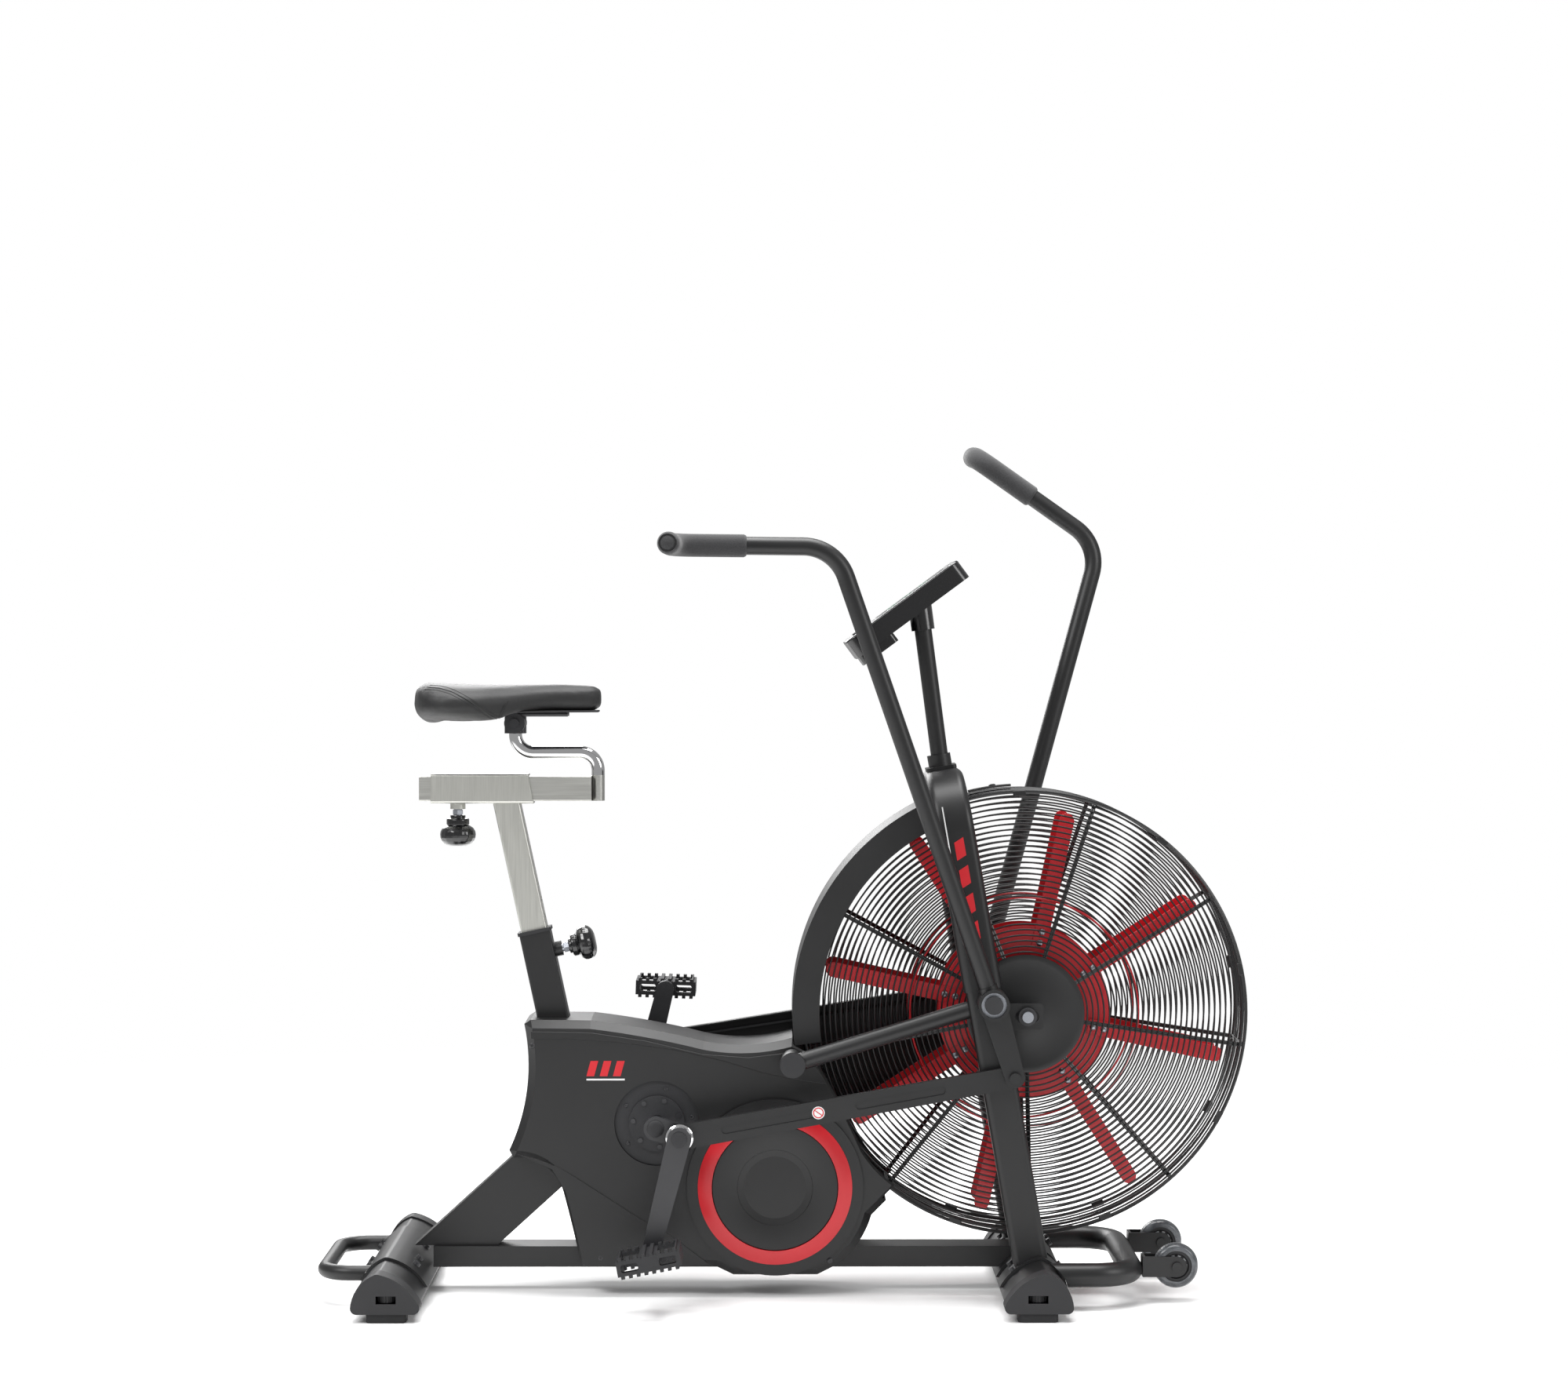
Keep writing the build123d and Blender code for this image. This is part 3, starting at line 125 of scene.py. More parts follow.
def addPiece(name, shape, material, body, smooth=True, bevel=0.0, replaces=()):
    # Makes the object, turns its faces outwards, gives it its material and rides it on its body
    points, faces = shape
    mesh = bpy.data.meshes.new(name)
    mesh.from_pydata(points.tolist(), [], faces)
    mesh.validate()
    piece = bpy.data.objects.new(name, mesh)
    bpy.context.scene.collection.objects.link(piece)
    makeActive(piece)
    bpy.ops.object.mode_set(mode="EDIT")
    bpy.ops.mesh.select_all(action="SELECT")
    bpy.ops.mesh.normals_make_consistent(inside=False)
    bpy.ops.object.mode_set(mode="OBJECT")
    if smooth:
        bpy.ops.object.shade_smooth_by_angle(angle=math.radians(40))
    if bevel:
        edge = piece.modifiers.new("edge", "BEVEL")
        edge.width = bevel
        edge.segments = 2
        edge.limit_method = "ANGLE"
    piece.data.materials.append(material)
    if replaces:
        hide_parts(*replaces)
    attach(piece, body)
    return piece


def unit(vector):
    return np.asarray(vector, float) / np.linalg.norm(vector)


def tube(path, radius, sideCount=16, caps=True, closed=False, flatten=None):
    # A circle carried along a path: each ring stands across the path, turned as little as possible from the
    # ring before. radius is one number or one for each point of the path.
    path = np.asarray(path, float)
    radius = np.broadcast_to(np.asarray(radius, float), (len(path),))
    ahead = np.roll(path, -1, axis=0) - np.roll(path, 1, axis=0)
    if not closed:
        ahead[0], ahead[-1] = path[1] - path[0], path[-1] - path[-2]
    ahead /= np.linalg.norm(ahead, axis=1)[:, None]
    across = np.cross(ahead[0], (0.0, 0.0, 1.0))
    if np.linalg.norm(across) < 1e-3:
        across = np.array((0.0, 1.0, 0.0))
    normals = []
    for direction in ahead:
        across = across - direction * across.dot(direction)
        across = across / np.linalg.norm(across)
        normals.append(across)
    normals = np.array(normals)
    binormals = np.cross(ahead, normals)
    angle = np.linspace(0, 2 * np.pi, sideCount, endpoint=False)
    ring = normals[:, None] * np.cos(angle)[None, :, None] + binormals[:, None] * np.sin(angle)[None, :, None]
    points = path[:, None] + ring * radius[:, None, None]
    return gridShape(points, closeRows=closed, caps=caps and not closed)


def filletPath(corners, radii, stepAngle=6.0, stepLength=0.02):
    # Straight runs between corners, with a tangent arc of its radius at each inner corner
    corners = [np.asarray(c, float) for c in corners]
    path = [corners[0]]
    for index in range(1, len(corners) - 1):
        before, corner, after = corners[index - 1], corners[index], corners[index + 1]
        back, ahead = unit(before - corner), unit(after - corner)
        half = math.acos(np.clip(back.dot(ahead), -1, 1)) / 2
        radius = radii[index - 1]
        reach = radius / math.tan(half)
        centre = corner + unit(back + ahead) * (radius / math.sin(half))
        start, end = corner + back * reach, corner + ahead * reach
        turn = math.pi - 2 * half
        steps = max(2, int(math.degrees(turn) / stepAngle))
        u, v = start - centre, end - centre
        t = np.linspace(0, 1, steps + 1)[:, None]
        arc = (np.sin((1 - t) * turn) * u + np.sin(t * turn) * v) / math.sin(turn)
        path.extend(centre + arc)
    path.append(corners[-1])
    dense = [path[0]]
    for a, b in zip(path[:-1], path[1:]):
        count = max(1, int(np.linalg.norm(b - a) / stepLength))
        dense.extend(a + (b - a) * k / count for k in range(1, count + 1))
    return np.array(dense)


def revolved(profile, centre, axis, sideCount=48, ripple=None, caps=True):
    # (radius, height) pairs turned about an axis through centre. ripple(angle, height) scales the radius.
    axis = unit(axis)
    helper = (0.0, 0.0, 1.0) if abs(axis[2]) < 0.9 else (1.0, 0.0, 0.0)
    u = unit(np.cross(axis, helper))
    v = np.cross(axis, u)
    profile = np.asarray(profile, float)
    angle = np.linspace(0, 2 * np.pi, sideCount, endpoint=False)
    radius = profile[:, 0][:, None] * np.ones(sideCount)[None]
    if ripple is not None:
        radius = radius * ripple(angle[None, :], profile[:, 1][:, None])
    points = (np.asarray(centre, float) + axis * profile[:, 1][:, None, None]
              + u * (radius * np.cos(angle))[..., None] + v * (radius * np.sin(angle))[..., None])
    return gridShape(points, caps=caps)


def turnedRing(profile, centre, axis, sideCount):
    # a closed profile turned about an axis, with a hole through its middle
    points, _ = revolved(profile, centre, axis, sideCount, caps=False)
    return points, [tuple(q) for q in gridFaces(len(profile), sideCount, closeRows=True).tolist()]


def rectangle(x0, y0, x1, y1):
    return [(x0, y0), (x1, y0), (x1, y1), (x0, y1)]


def compass(angle):
    # the directions outwards and onwards at an angle from +X towards +Z
    return np.array((math.cos(angle), 0, math.sin(angle))), np.array((-math.sin(angle), 0, math.cos(angle)))


def slab(outline, origin, xAxis, yAxis, thickness):
    # A flat outline in the plane of two axes, given a thickness each way along their cross product
    outline = np.asarray(outline, float)
    origin, xAxis, yAxis = (np.asarray(a, float) for a in (origin, xAxis, yAxis))
    normal = np.cross(xAxis, yAxis)
    flat = origin + outline[:, :1] * xAxis + outline[:, 1:] * yAxis
    count = len(outline)
    points = np.concatenate([flat + normal * thickness / 2, flat - normal * thickness / 2])
    faces = [tuple(range(count)), tuple(reversed(range(count, 2 * count)))]
    faces += [(k, k + count, (k + 1) % count + count, (k + 1) % count) for k in range(count)]
    return points, faces


def linear(hexColour):
    # sRGB hex to linear: c/12.92 below 0.04045, else ((c+0.055)/1.055)^2.4
    values = [int(hexColour[i:i + 2], 16) / 255 for i in (1, 3, 5)]
    return tuple(c / 12.92 if c <= 0.04045 else ((c + 0.055) / 1.055) ** 2.4 for c in values) + (1.0,)


def addNode(tree, kind, settings=None, links=None):
    # adds a node, sets its attributes, inputs or ramp stops by name, and links its inputs to other outputs
    node = tree.nodes.new(kind)
    for key, value in (settings or {}).items():
        if isinstance(key, str) and key in node.inputs:
            node.inputs[key].default_value = value
        elif isinstance(key, int):
            node.inputs[key].default_value = value
        elif key == "stops":
            elements = node.color_ramp.elements
            for position, colour in value[2:]:
                elements.new(position)
            for element, (position, colour) in zip(elements, sorted(value)):
                element.position = position
                element.color = linear(colour)
        else:
            setattr(node, key, value)
    for key, output in (links or {}).items():
        tree.links.new(output, node.inputs[key])
    return node


def newMaterial(name, shader):
    # A material with a Principled shader set from a dictionary, and its Object coordinates
    material = bpy.data.materials.new(name)
    material.use_nodes = True
    tree = material.node_tree
    tree.nodes.clear()
    principled = addNode(tree, "ShaderNodeBsdfPrincipled", shader)
    addNode(tree, "ShaderNodeOutputMaterial", links={"Surface": principled.outputs[0]})
    coordinates = addNode(tree, "ShaderNodeTexCoord")
    return material, tree, principled, coordinates.outputs["Object"]


def grey(level):
    return (level, level, level, 1.0)


def paintedMaterial(name, colourHex, scuffHex, roughness, peel, bumpMm, coat=0.0):
    # Powder coat or textured plastic: a fine relief of peel metres, soft patches in the roughness, and a
    # faint paler tone where handling has rubbed it
    material, tree, shader, place = newMaterial(name, {
        "Base Color": linear(colourHex), "Roughness": roughness, "Coat Weight": coat, "Coat Roughness": 0.25})
    relief = addNode(tree, "ShaderNodeTexNoise", {"Scale": 1 / peel, "Detail": 3.0, "Roughness": 0.55},
                     {"Vector": place})
    patches = addNode(tree, "ShaderNodeTexNoise", {"Scale": 9.0, "Detail": 4.0}, {"Vector": place})
    rubbed = addNode(tree, "ShaderNodeValToRGB", {"stops": [(0.35, colourHex), (0.75, scuffHex)]},
                     {"Fac": patches.outputs["Fac"]}).outputs["Color"]
    tree.links.new(rubbed, shader.inputs["Base Color"])
    spread = addNode(tree, "ShaderNodeMapRange", {"To Min": roughness - 0.05, "To Max": roughness + 0.09},
                     {"Value": patches.outputs["Fac"]})
    tree.links.new(spread.outputs["Result"], shader.inputs["Roughness"])
    bump = addNode(tree, "ShaderNodeBump", {"Strength": 0.35, "Distance": bumpMm * mm},
                   {"Height": relief.outputs["Fac"]})
    tree.links.new(bump.outputs["Normal"], shader.inputs["Normal"])
    return material


def brushedMetal(name, lightHex, darkHex, roughness, lineMm, along):
    # Plated steel brushed along one axis: noise stretched along that axis streaks roughness and relief
    material, tree, shader, place = newMaterial(name, {
        "Base Color": linear(lightHex), "Metallic": 1.0, "Roughness": roughness})
    stretch = [1.0 / (lineMm * mm)] * 3
    stretch[along] = 1.0 / (60 * lineMm * mm)
    mapping = addNode(tree, "ShaderNodeMapping", {"Scale": stretch}, {"Vector": place})
    lines = addNode(tree, "ShaderNodeTexNoise", {"Scale": 1.0, "Detail": 3.0}, {"Vector": mapping.outputs[0]})
    tone = addNode(tree, "ShaderNodeValToRGB", {"stops": [(0.3, darkHex), (0.7, lightHex)]},
                   {"Fac": lines.outputs["Fac"]}).outputs["Color"]
    tree.links.new(tone, shader.inputs["Base Color"])
    spread = addNode(tree, "ShaderNodeMapRange", {"To Min": roughness - 0.06, "To Max": roughness + 0.1},
                     {"Value": lines.outputs["Fac"]})
    tree.links.new(spread.outputs["Result"], shader.inputs["Roughness"])
    bump = addNode(tree, "ShaderNodeBump", {"Strength": 0.2, "Distance": 0.03 * mm},
                   {"Height": lines.outputs["Fac"]})
    tree.links.new(bump.outputs["Normal"], shader.inputs["Normal"])
    return material


def closedCellFoam():
    # extruded EVA foam: no gloss, with open pores about 1.5 mm across
    material, tree, shader, place = newMaterial("extruded_foam", {
        "Base Color": linear("#1d1d1f"), "Roughness": 0.92, "Sheen Weight": 0.25, "Sheen Roughness": 0.6})
    pores = addNode(tree, "ShaderNodeTexVoronoi", {"Scale": 1 / (1.5 * mm)}, {"Vector": place})
    tone = addNode(tree, "ShaderNodeValToRGB", {"stops": [(0.0, "#121213"), (0.6, "#262628")]},
                   {"Fac": pores.outputs["Distance"]}).outputs["Color"]
    tree.links.new(tone, shader.inputs["Base Color"])
    bump = addNode(tree, "ShaderNodeBump", {"Strength": 0.7, "Distance": 0.4 * mm},
                   {"Height": pores.outputs["Distance"]})
    tree.links.new(bump.outputs["Normal"], shader.inputs["Normal"])
    return material


def leatherette():
    # calendered PU leatherette: pebble grain about 2 mm across under a soft semi-matte finish
    material, tree, shader, place = newMaterial("grained_leatherette", {
        "Base Color": linear("#101011"), "Roughness": 0.5, "Sheen Weight": 0.04})
    warp = addNode(tree, "ShaderNodeTexNoise", {"Scale": 120.0, "Detail": 2.0}, {"Vector": place})
    shift = addNode(tree, "ShaderNodeVectorMath", {"operation": "SCALE", "Scale": 1.2 * mm},
                    {0: warp.outputs["Color"]})
    bent = addNode(tree, "ShaderNodeVectorMath", {"operation": "ADD"}, {0: place, 1: shift.outputs[0]})
    pebbles = addNode(tree, "ShaderNodeTexVoronoi", {"Scale": 1 / (2.0 * mm), "feature": "DISTANCE_TO_EDGE"},
                      {"Vector": bent.outputs[0]})
    ridge = addNode(tree, "ShaderNodeValToRGB", {"stops": [(0.0, "#000000"), (0.12, "#ffffff")]},
                    {"Fac": pebbles.outputs["Distance"]}).outputs["Color"]
    tone = addNode(tree, "ShaderNodeValToRGB", {"stops": [(0.0, "#0a0a0b"), (0.2, "#131314")]},
                   {"Fac": pebbles.outputs["Distance"]}).outputs["Color"]
    tree.links.new(tone, shader.inputs["Base Color"])
    bump = addNode(tree, "ShaderNodeBump", {"Strength": 0.5, "Distance": 0.25 * mm}, {"Height": ridge})
    tree.links.new(bump.outputs["Normal"], shader.inputs["Normal"])
    return material


def platedSteel(name, polishedAbove):
    # Plated steel: a near-mirror chrome above a height, and a satin nickel, with the tube's drawing lines
    # left in it, below
    material, tree, shader, place = newMaterial(name, {"Base Color": linear("#d9dadc"), "Metallic": 1.0})
    height = addNode(tree, "ShaderNodeSeparateXYZ", links={0: place})
    polished = addNode(tree, "ShaderNodeMath", {"operation": "GREATER_THAN", 1: polishedAbove},
                       {0: height.outputs["Z"]})
    mapping = addNode(tree, "ShaderNodeMapping", {"Scale": (20, 1200, 1200)}, {"Vector": place})
    haze = addNode(tree, "ShaderNodeTexNoise", {"Scale": 60.0, "Detail": 4.0}, {"Vector": place})
    lines = addNode(tree, "ShaderNodeTexNoise", {"Scale": 1.0, "Detail": 3.0}, {"Vector": mapping.outputs[0]})
    bright = addNode(tree, "ShaderNodeMapRange", {"To Min": 0.04, "To Max": 0.13},
                     {"Value": haze.outputs["Fac"]})
    satin = addNode(tree, "ShaderNodeMapRange", {"To Min": 0.28, "To Max": 0.44},
                    {"Value": lines.outputs["Fac"]})
    finish = addNode(tree, "ShaderNodeMix",
                     links={0: polished.outputs[0], 2: satin.outputs[0], 3: bright.outputs[0]})
    tree.links.new(finish.outputs[0], shader.inputs["Roughness"])
    satinTone = addNode(tree, "ShaderNodeValToRGB", {"stops": [(0.3, "#bcbcb7"), (0.7, "#cdcdc8")]},
                        {"Fac": lines.outputs["Fac"]}).outputs["Color"]
    tone = addNode(tree, "ShaderNodeMix", {"data_type": "RGBA", 7: linear("#dcdcdd")},
                   {0: polished.outputs[0], 6: satinTone})
    tree.links.new(tone.outputs[2], shader.inputs["Base Color"])
    return material


def smokeUrethane():
    # cast polyurethane tyre, smoke grey: light passes through it and blurs
    material, tree, shader, place = newMaterial("cast_urethane", {
        "Base Color": linear("#5b5e62"), "Roughness": 0.22, "Transmission Weight": 0.5, "IOR": 1.48,
        "Subsurface Weight": 0.2, "Subsurface Radius": (0.01, 0.01, 0.01)})
    cloud = addNode(tree, "ShaderNodeTexNoise", {"Scale": 90.0, "Detail": 2.0}, {"Vector": place})
    tone = addNode(tree, "ShaderNodeValToRGB", {"stops": [(0.3, "#4f5256"), (0.7, "#6d7074")]},
                   {"Fac": cloud.outputs["Fac"]}).outputs["Color"]
    tree.links.new(tone, shader.inputs["Base Color"])
    return material


def displayWindow():
    # acrylic window over a dark liquid-crystal display: glossy, faintly green-grey
    material, tree, shader, place = newMaterial("acrylic_window", {
        "Base Color": linear("#1b2120"), "Roughness": 0.1, "Coat Weight": 0.5, "Coat Roughness": 0.05})
    cloud = addNode(tree, "ShaderNodeTexNoise", {"Scale": 20.0}, {"Vector": place})
    tone = addNode(tree, "ShaderNodeValToRGB", {"stops": [(0.2, "#171c1b"), (0.8, "#212826")]},
                   {"Fac": cloud.outputs["Fac"]}).outputs["Color"]
    tree.links.new(tone, shader.inputs["Base Color"])
    return material


# satin black powder coat baked on steel tube: orange peel about 2.5 mm across breaks up its highlights
steel = paintedMaterial("powder_coated_steel", "#0e0e0f", "#151516", 0.4, 2.5 * mm, 0.12)
# injection-moulded ABS with a spark-eroded grain, drawn 1.6 mm wide so that it shows: dull and even
casingPlastic = paintedMaterial("textured_abs", "#0c0c0d", "#121213", 0.44, 1.6 * mm, 0.1)
# moulded polypropylene for caps, pedals and sleeves: a little greyer and duller than the casing
plastic = paintedMaterial("matte_polypropylene", "#18181a", "#222225", 0.58, 1.2 * mm, 0.12)
# polished-tool ABS with a clear skin: sharp reflections over black
gloss = paintedMaterial("polished_abs", "#08080a", "#0b0b0d", 0.16, 30 * mm, 0.02, coat=0.6)
# red powder coat on pressed steel: semi-gloss, with mild orange peel
fanRed = paintedMaterial("red_enamelled_steel", "#b80c1a", "#c31824", 0.32, 2.2 * mm, 0.08, coat=0.3)
# moulded red trim with a satin skin
trimRed = paintedMaterial("red_moulded_abs", "#b60a18", "#bd1220", 0.33, 1.5 * mm, 0.05, coat=0.15)
# drawn wire with a black dip coat: smooth, a little shinier than the frame
wire = paintedMaterial("dip_coated_wire", "#0e0e0f", "#161617", 0.33, 1.5 * mm, 0.05)
# forged and machined steel, black e-coat: darker and smoother than powder coat, with a soft shine
forging = paintedMaterial("e_coated_forging", "#1c1c1e", "#2c2c2f", 0.36, 3 * mm, 0.1, coat=0.2)
nickel = brushedMetal("brushed_nickel_plate", "#cfcfc9", "#bfbfb9", 0.36, 0.8, 2)
zinc = brushedMetal("zinc_plated_steel", "#b9bcc2", "#8f939a", 0.32, 0.7, 1)
machined = brushedMetal("turned_aluminium", "#c4c6c9", "#a7a9ad", 0.3, 0.6, 2)
chrome = platedSteel("bright_chrome_plate", -1.0)
satinBarChromeTube = platedSteel("satin_and_bright_plate", 0.7485)
foam = closedCellFoam()
leather = leatherette()
urethane = smokeUrethane()
# vulcanised rubber: dull, with a dusty fine grain
rubber = paintedMaterial("moulded_rubber", "#161617", "#2a2a2c", 0.78, 1.0 * mm, 0.15)
window = displayWindow()
# screen-printed ink, and the pale webs of the wheels: even colour with slightly uneven gloss
inks = {name: paintedMaterial(name, colour, colour, 0.45, 1.0 * mm, 0.02) for name, colour in (
    ("moulded_clear_web", "#b4b7ba"), ("printed_red_ink", "#c01420"), ("printed_white_ink", "#d6d6d6"),
    ("display_segments", "#9fb3a8"))}
clearSpokes, redInk, whiteInk, digitInk = inks.values()

nodeMaterials = {
    steel: ["base_rail", "diagonal_frame", "seat_tube", "stabilizers", "rear_handle", "front_loop",
            "front_posts", "front_fork", "console_mast", "fan_stays", "fan_guard", "right_link_rod",
            "left_link_rod", "right_rocker", "left_rocker", "right_handlebar", "left_handlebar"],
    casingPlastic: ["right_casing", "left_casing", "belt_guard"],
    plastic: ["seat_tube_sleeve", "stabilizer_caps", "bearing_covers", "right_pedal", "left_pedal",
              "console_button_1", "console_button_2"],
    gloss: ["console_housing"],
    forging: ["frame_fasteners", "inner_cranks", "right_crank_arm", "left_crank_arm", "saddle_clamp",
              "saddle_cradle"],
    zinc: ["fan_axle", "crank_spindle", "crank_bearings", "pivot_bearings"],
    machined: ["crank_pulley", "fan_pulley"],
    fanRed: ["fan_hub"],
    trimRed: ["cover_rings"],
    nickel: ["seat_post"],
    satinBarChromeTube: ["seat_slider"],
    rubber: ["drive_belt", "rear_right_leveller", "rear_left_leveller", "front_right_leveller",
             "front_left_leveller"],
    window: ["console_screen"],
}
for material, names in nodeMaterials.items():
    for name in names:
        node = frame["nodes"][name]
        if node.material_slots:
            for slotIndex in range(len(node.material_slots)):
                node.material_slots[slotIndex].material = material
        else:
            node.data.materials.append(material)
print("materials assigned")


cage = {
    "outerRadius": 321 * mm, "plateRadius": 84 * mm, "wire": 1.25 * mm, "plateY": 75 * mm, "rimY": 62 * mm,
    "rings": 29, "pitch": 8 * mm, "ribs": 9, "firstRib": 71.5, "ribWire": 1.7 * mm,
}


def aroundFan(radius, degrees, y):
    # A point at an angle from +X towards +Z about the fan's axis, y from the middle plane
    a = np.radians(degrees)
    x, z = fanCentre[0] + radius * np.cos(a), fanCentre[2] + radius * np.sin(a)
    return np.stack(np.broadcast_arrays(x, y, z), axis=-1)


def hoop(radius, y, wireRadius, segments=120, sideCount=6):
    # A round wire bent into a ring about the fan's axis: two angles, one round the fan, one round the wire
    a = np.linspace(0, 360, segments, endpoint=False)[:, None]
    b = np.linspace(0, 2 * np.pi, sideCount, endpoint=False)[None, :]
    points = aroundFan(radius + wireRadius * np.cos(b), a, y + wireRadius * np.sin(b))
    return gridShape(points, closeRows=True)


def wireY(radius):
    share = (radius - cage["plateRadius"]) / (cage["outerRadius"] - cage["plateRadius"])
    return cage["plateY"] - share * (cage["plateY"] - cage["rimY"])


def buildGrilles():
    w, outer, plate = cage["wire"], cage["outerRadius"], cage["plateRadius"]
    plateY, rimY = cage["plateY"], cage["rimY"]
    for name, side in sides.items():
        radii = [plate + 5 * mm + cage["pitch"] * k for k in range(cage["rings"])]
        shapes = [hoop(r, side * wireY(r), w, segments=96 + 48 * (r > 0.2)) for r in radii]
        shapes += [hoop(outer - 1.4 * mm, side * y * mm, w) for y in (4, 24, 44)]
        shapes.append(hoop(outer - 2.6 * mm, side * rimY, 2.4 * mm, 160, 8))
        for k in range(cage["ribs"]):
            angle = cage["firstRib"] + 40 * k
            for spread in (-0.0125, 0.0125):
                inner = plate - 12 * mm
                route = [(inner, plateY - 2.6 * mm), (plate + 4 * mm, wireY(inner) - 3.4 * mm),
                         (outer - 10 * mm, rimY - 2.6 * mm), (outer - 3.4 * mm, rimY - 8 * mm),
                         (outer - 3.4 * mm, 0.2 * mm)]
                path = [aroundFan(r, angle + math.degrees(spread * 0.12 / r), side * y) for r, y in route]
                shapes.append(tube(filletPath(path, [8 * mm, 12 * mm, 5 * mm], 15), cage["ribWire"], 6))
        addPiece(f"{name}_wire_grille", joined(shapes), wire, "root",
                 replaces=(f"{name}_grille",))
        hole = 17 * mm if side == 1 else 8.5 * mm
        profile = [(hole, plateY - 1 * mm), (hole, plateY + 0.6 * mm), (34 * mm, plateY + 0.8 * mm),
                   (36 * mm, plateY + 0.2 * mm), (76 * mm, plateY), (82 * mm, plateY + 1.2 * mm),
                   (84.5 * mm, plateY + 0.4 * mm), (85 * mm, plateY - 1.2 * mm), (76 * mm, plateY - 1.2 * mm)]
        centre = (fanCentre[0], 0, fanCentre[2])
        addPiece(f"{name}_grille_badge_plate", turnedRing(profile, centre, (0, side, 0), 96), steel, "root")
        clips = []
        for k in range(cage["ribs"]):
            angle = cage["firstRib"] + 20 + 40 * k
            radial = unit(aroundFan(1, angle, 0) - fanCentre * (1, 0, 1))
            along = np.array((radial[2], 0, -radial[0]))
            centre = aroundFan(outer - 4.6 * mm, angle, side * (rimY - 1 * mm))
            clips.append(slab(rectangle(-9 * mm, -4 * mm, 9 * mm, 4 * mm), centre, along, radial, 9 * mm))
        addPiece(f"{name}_rim_clips", joined(clips), steel, "root", bevel=1 * mm)


def buildCageStrap():
    # A bent strap with a screw that holds the top of the cage, just ahead of the fork's crown
    path = [aroundFan(326 * mm, angle, 0) for angle in np.linspace(93, 104, 8)]
    shapes = [tube([p + np.array((0, y * mm, 0)) for p in path], 1.6 * mm, 8) for y in (-6, -3, 0, 3, 6)]
    head = np.array([(0.1, 0), (5, 0), (5, 3), (3, 4), (0.1, 4)]) * mm
    shapes.append(revolved(head, path[3], unit(path[3] - fanCentre * (1, 0, 1)), 20))
    addPiece("cage_strap", joined(shapes), steel, "root")


buildGrilles()
buildCageStrap()
print("cage built")


fanShape = {"blades": 8, "first": 77.5, "tip": 293 * mm, "root": 94 * mm, "half": 46 * mm, "flange": 22 * mm,
            "hoop": 165 * mm, "boltCircle": 110 * mm, "webStart": 127 * mm}


def bladeOutline(start, tip, width):
    # A strip with a round tip: straight sides, then a half circle, corners rounded at its root
    turn = np.linspace(-np.pi / 2, np.pi / 2, 13)
    r = width / 2
    curve = [(tip - r + r * math.cos(a), r * math.sin(a)) for a in turn]
    return [(start, -r)] + curve + [(start, r)]


def buildFan():
    shapes, bolts = [], []
    s = fanShape
    for k in range(s["blades"]):
        radial, across = compass(math.radians(s["first"] + 360 / s["blades"] * k))
        for side in (-1, 1):
            origin = np.array((fanCentre[0], side * (s["half"] - 0.1 * mm), fanCentre[2]))
            outline = bladeOutline(s["root"], s["tip"], s["flange"])
            shapes.append(slab(outline, origin, radial, across, 1.5 * mm))
            for r in (s["boltCircle"] - 8 * mm, s["boltCircle"] + 8 * mm):
                head = origin + radial * r + np.array((0, side * 0.7 * mm, 0))
                bolts.append(revolved([(0.1 * mm, 3.4 * mm), (2.6 * mm, 3.2 * mm), (4.2 * mm, 2.2 * mm),
                                       (5 * mm, 0.8 * mm), (5 * mm, 0)], head, (0, side, 0), 16))
        web = rectangle(s["webStart"], -s["half"] + 1 * mm, s["tip"] - 5 * mm, s["half"] - 1 * mm)
        shapes.append(slab(web, (fanCentre[0], 0, fanCentre[2]), radial, (0, 1, 0), 1.6 * mm))
    for side in (-1, 1):
        shapes.append(hoop(s["hoop"], side * (s["half"] + 1.7 * mm), 1.5 * mm, 120, 8))
    addPiece("fan_blade_set", joined(shapes), fanRed, "fan", bevel=0.4 * mm,
             replaces=("fan_blades",))
    addPiece("blade_bolts", joined(bolts), zinc, "fan")


buildFan()
print("fan built")


# foam sleeves that follow the bar's outward bend
grip = {"radius": 16 * mm, "bend": 34 * mm, "length": 102 * mm, "corner": (109, 225, 1075),
        "end": (-117, 233, 1077), "out": (-123, 300, 1079)}


def turnedAboutPivot(point, side, degrees):
    # A point of the drawing, mirrored to its side and turned about the handlebars' pivot
    x, y, z = (v * mm for v in point)
    dx, dz = x + datumX - handlePivot[0], z - handlePivot[2]
    a = math.radians(degrees)
    return np.array((handlePivot[0] + dx * math.cos(a) + dz * math.sin(a), side * y,
                     handlePivot[2] - dx * math.sin(a) + dz * math.cos(a)))


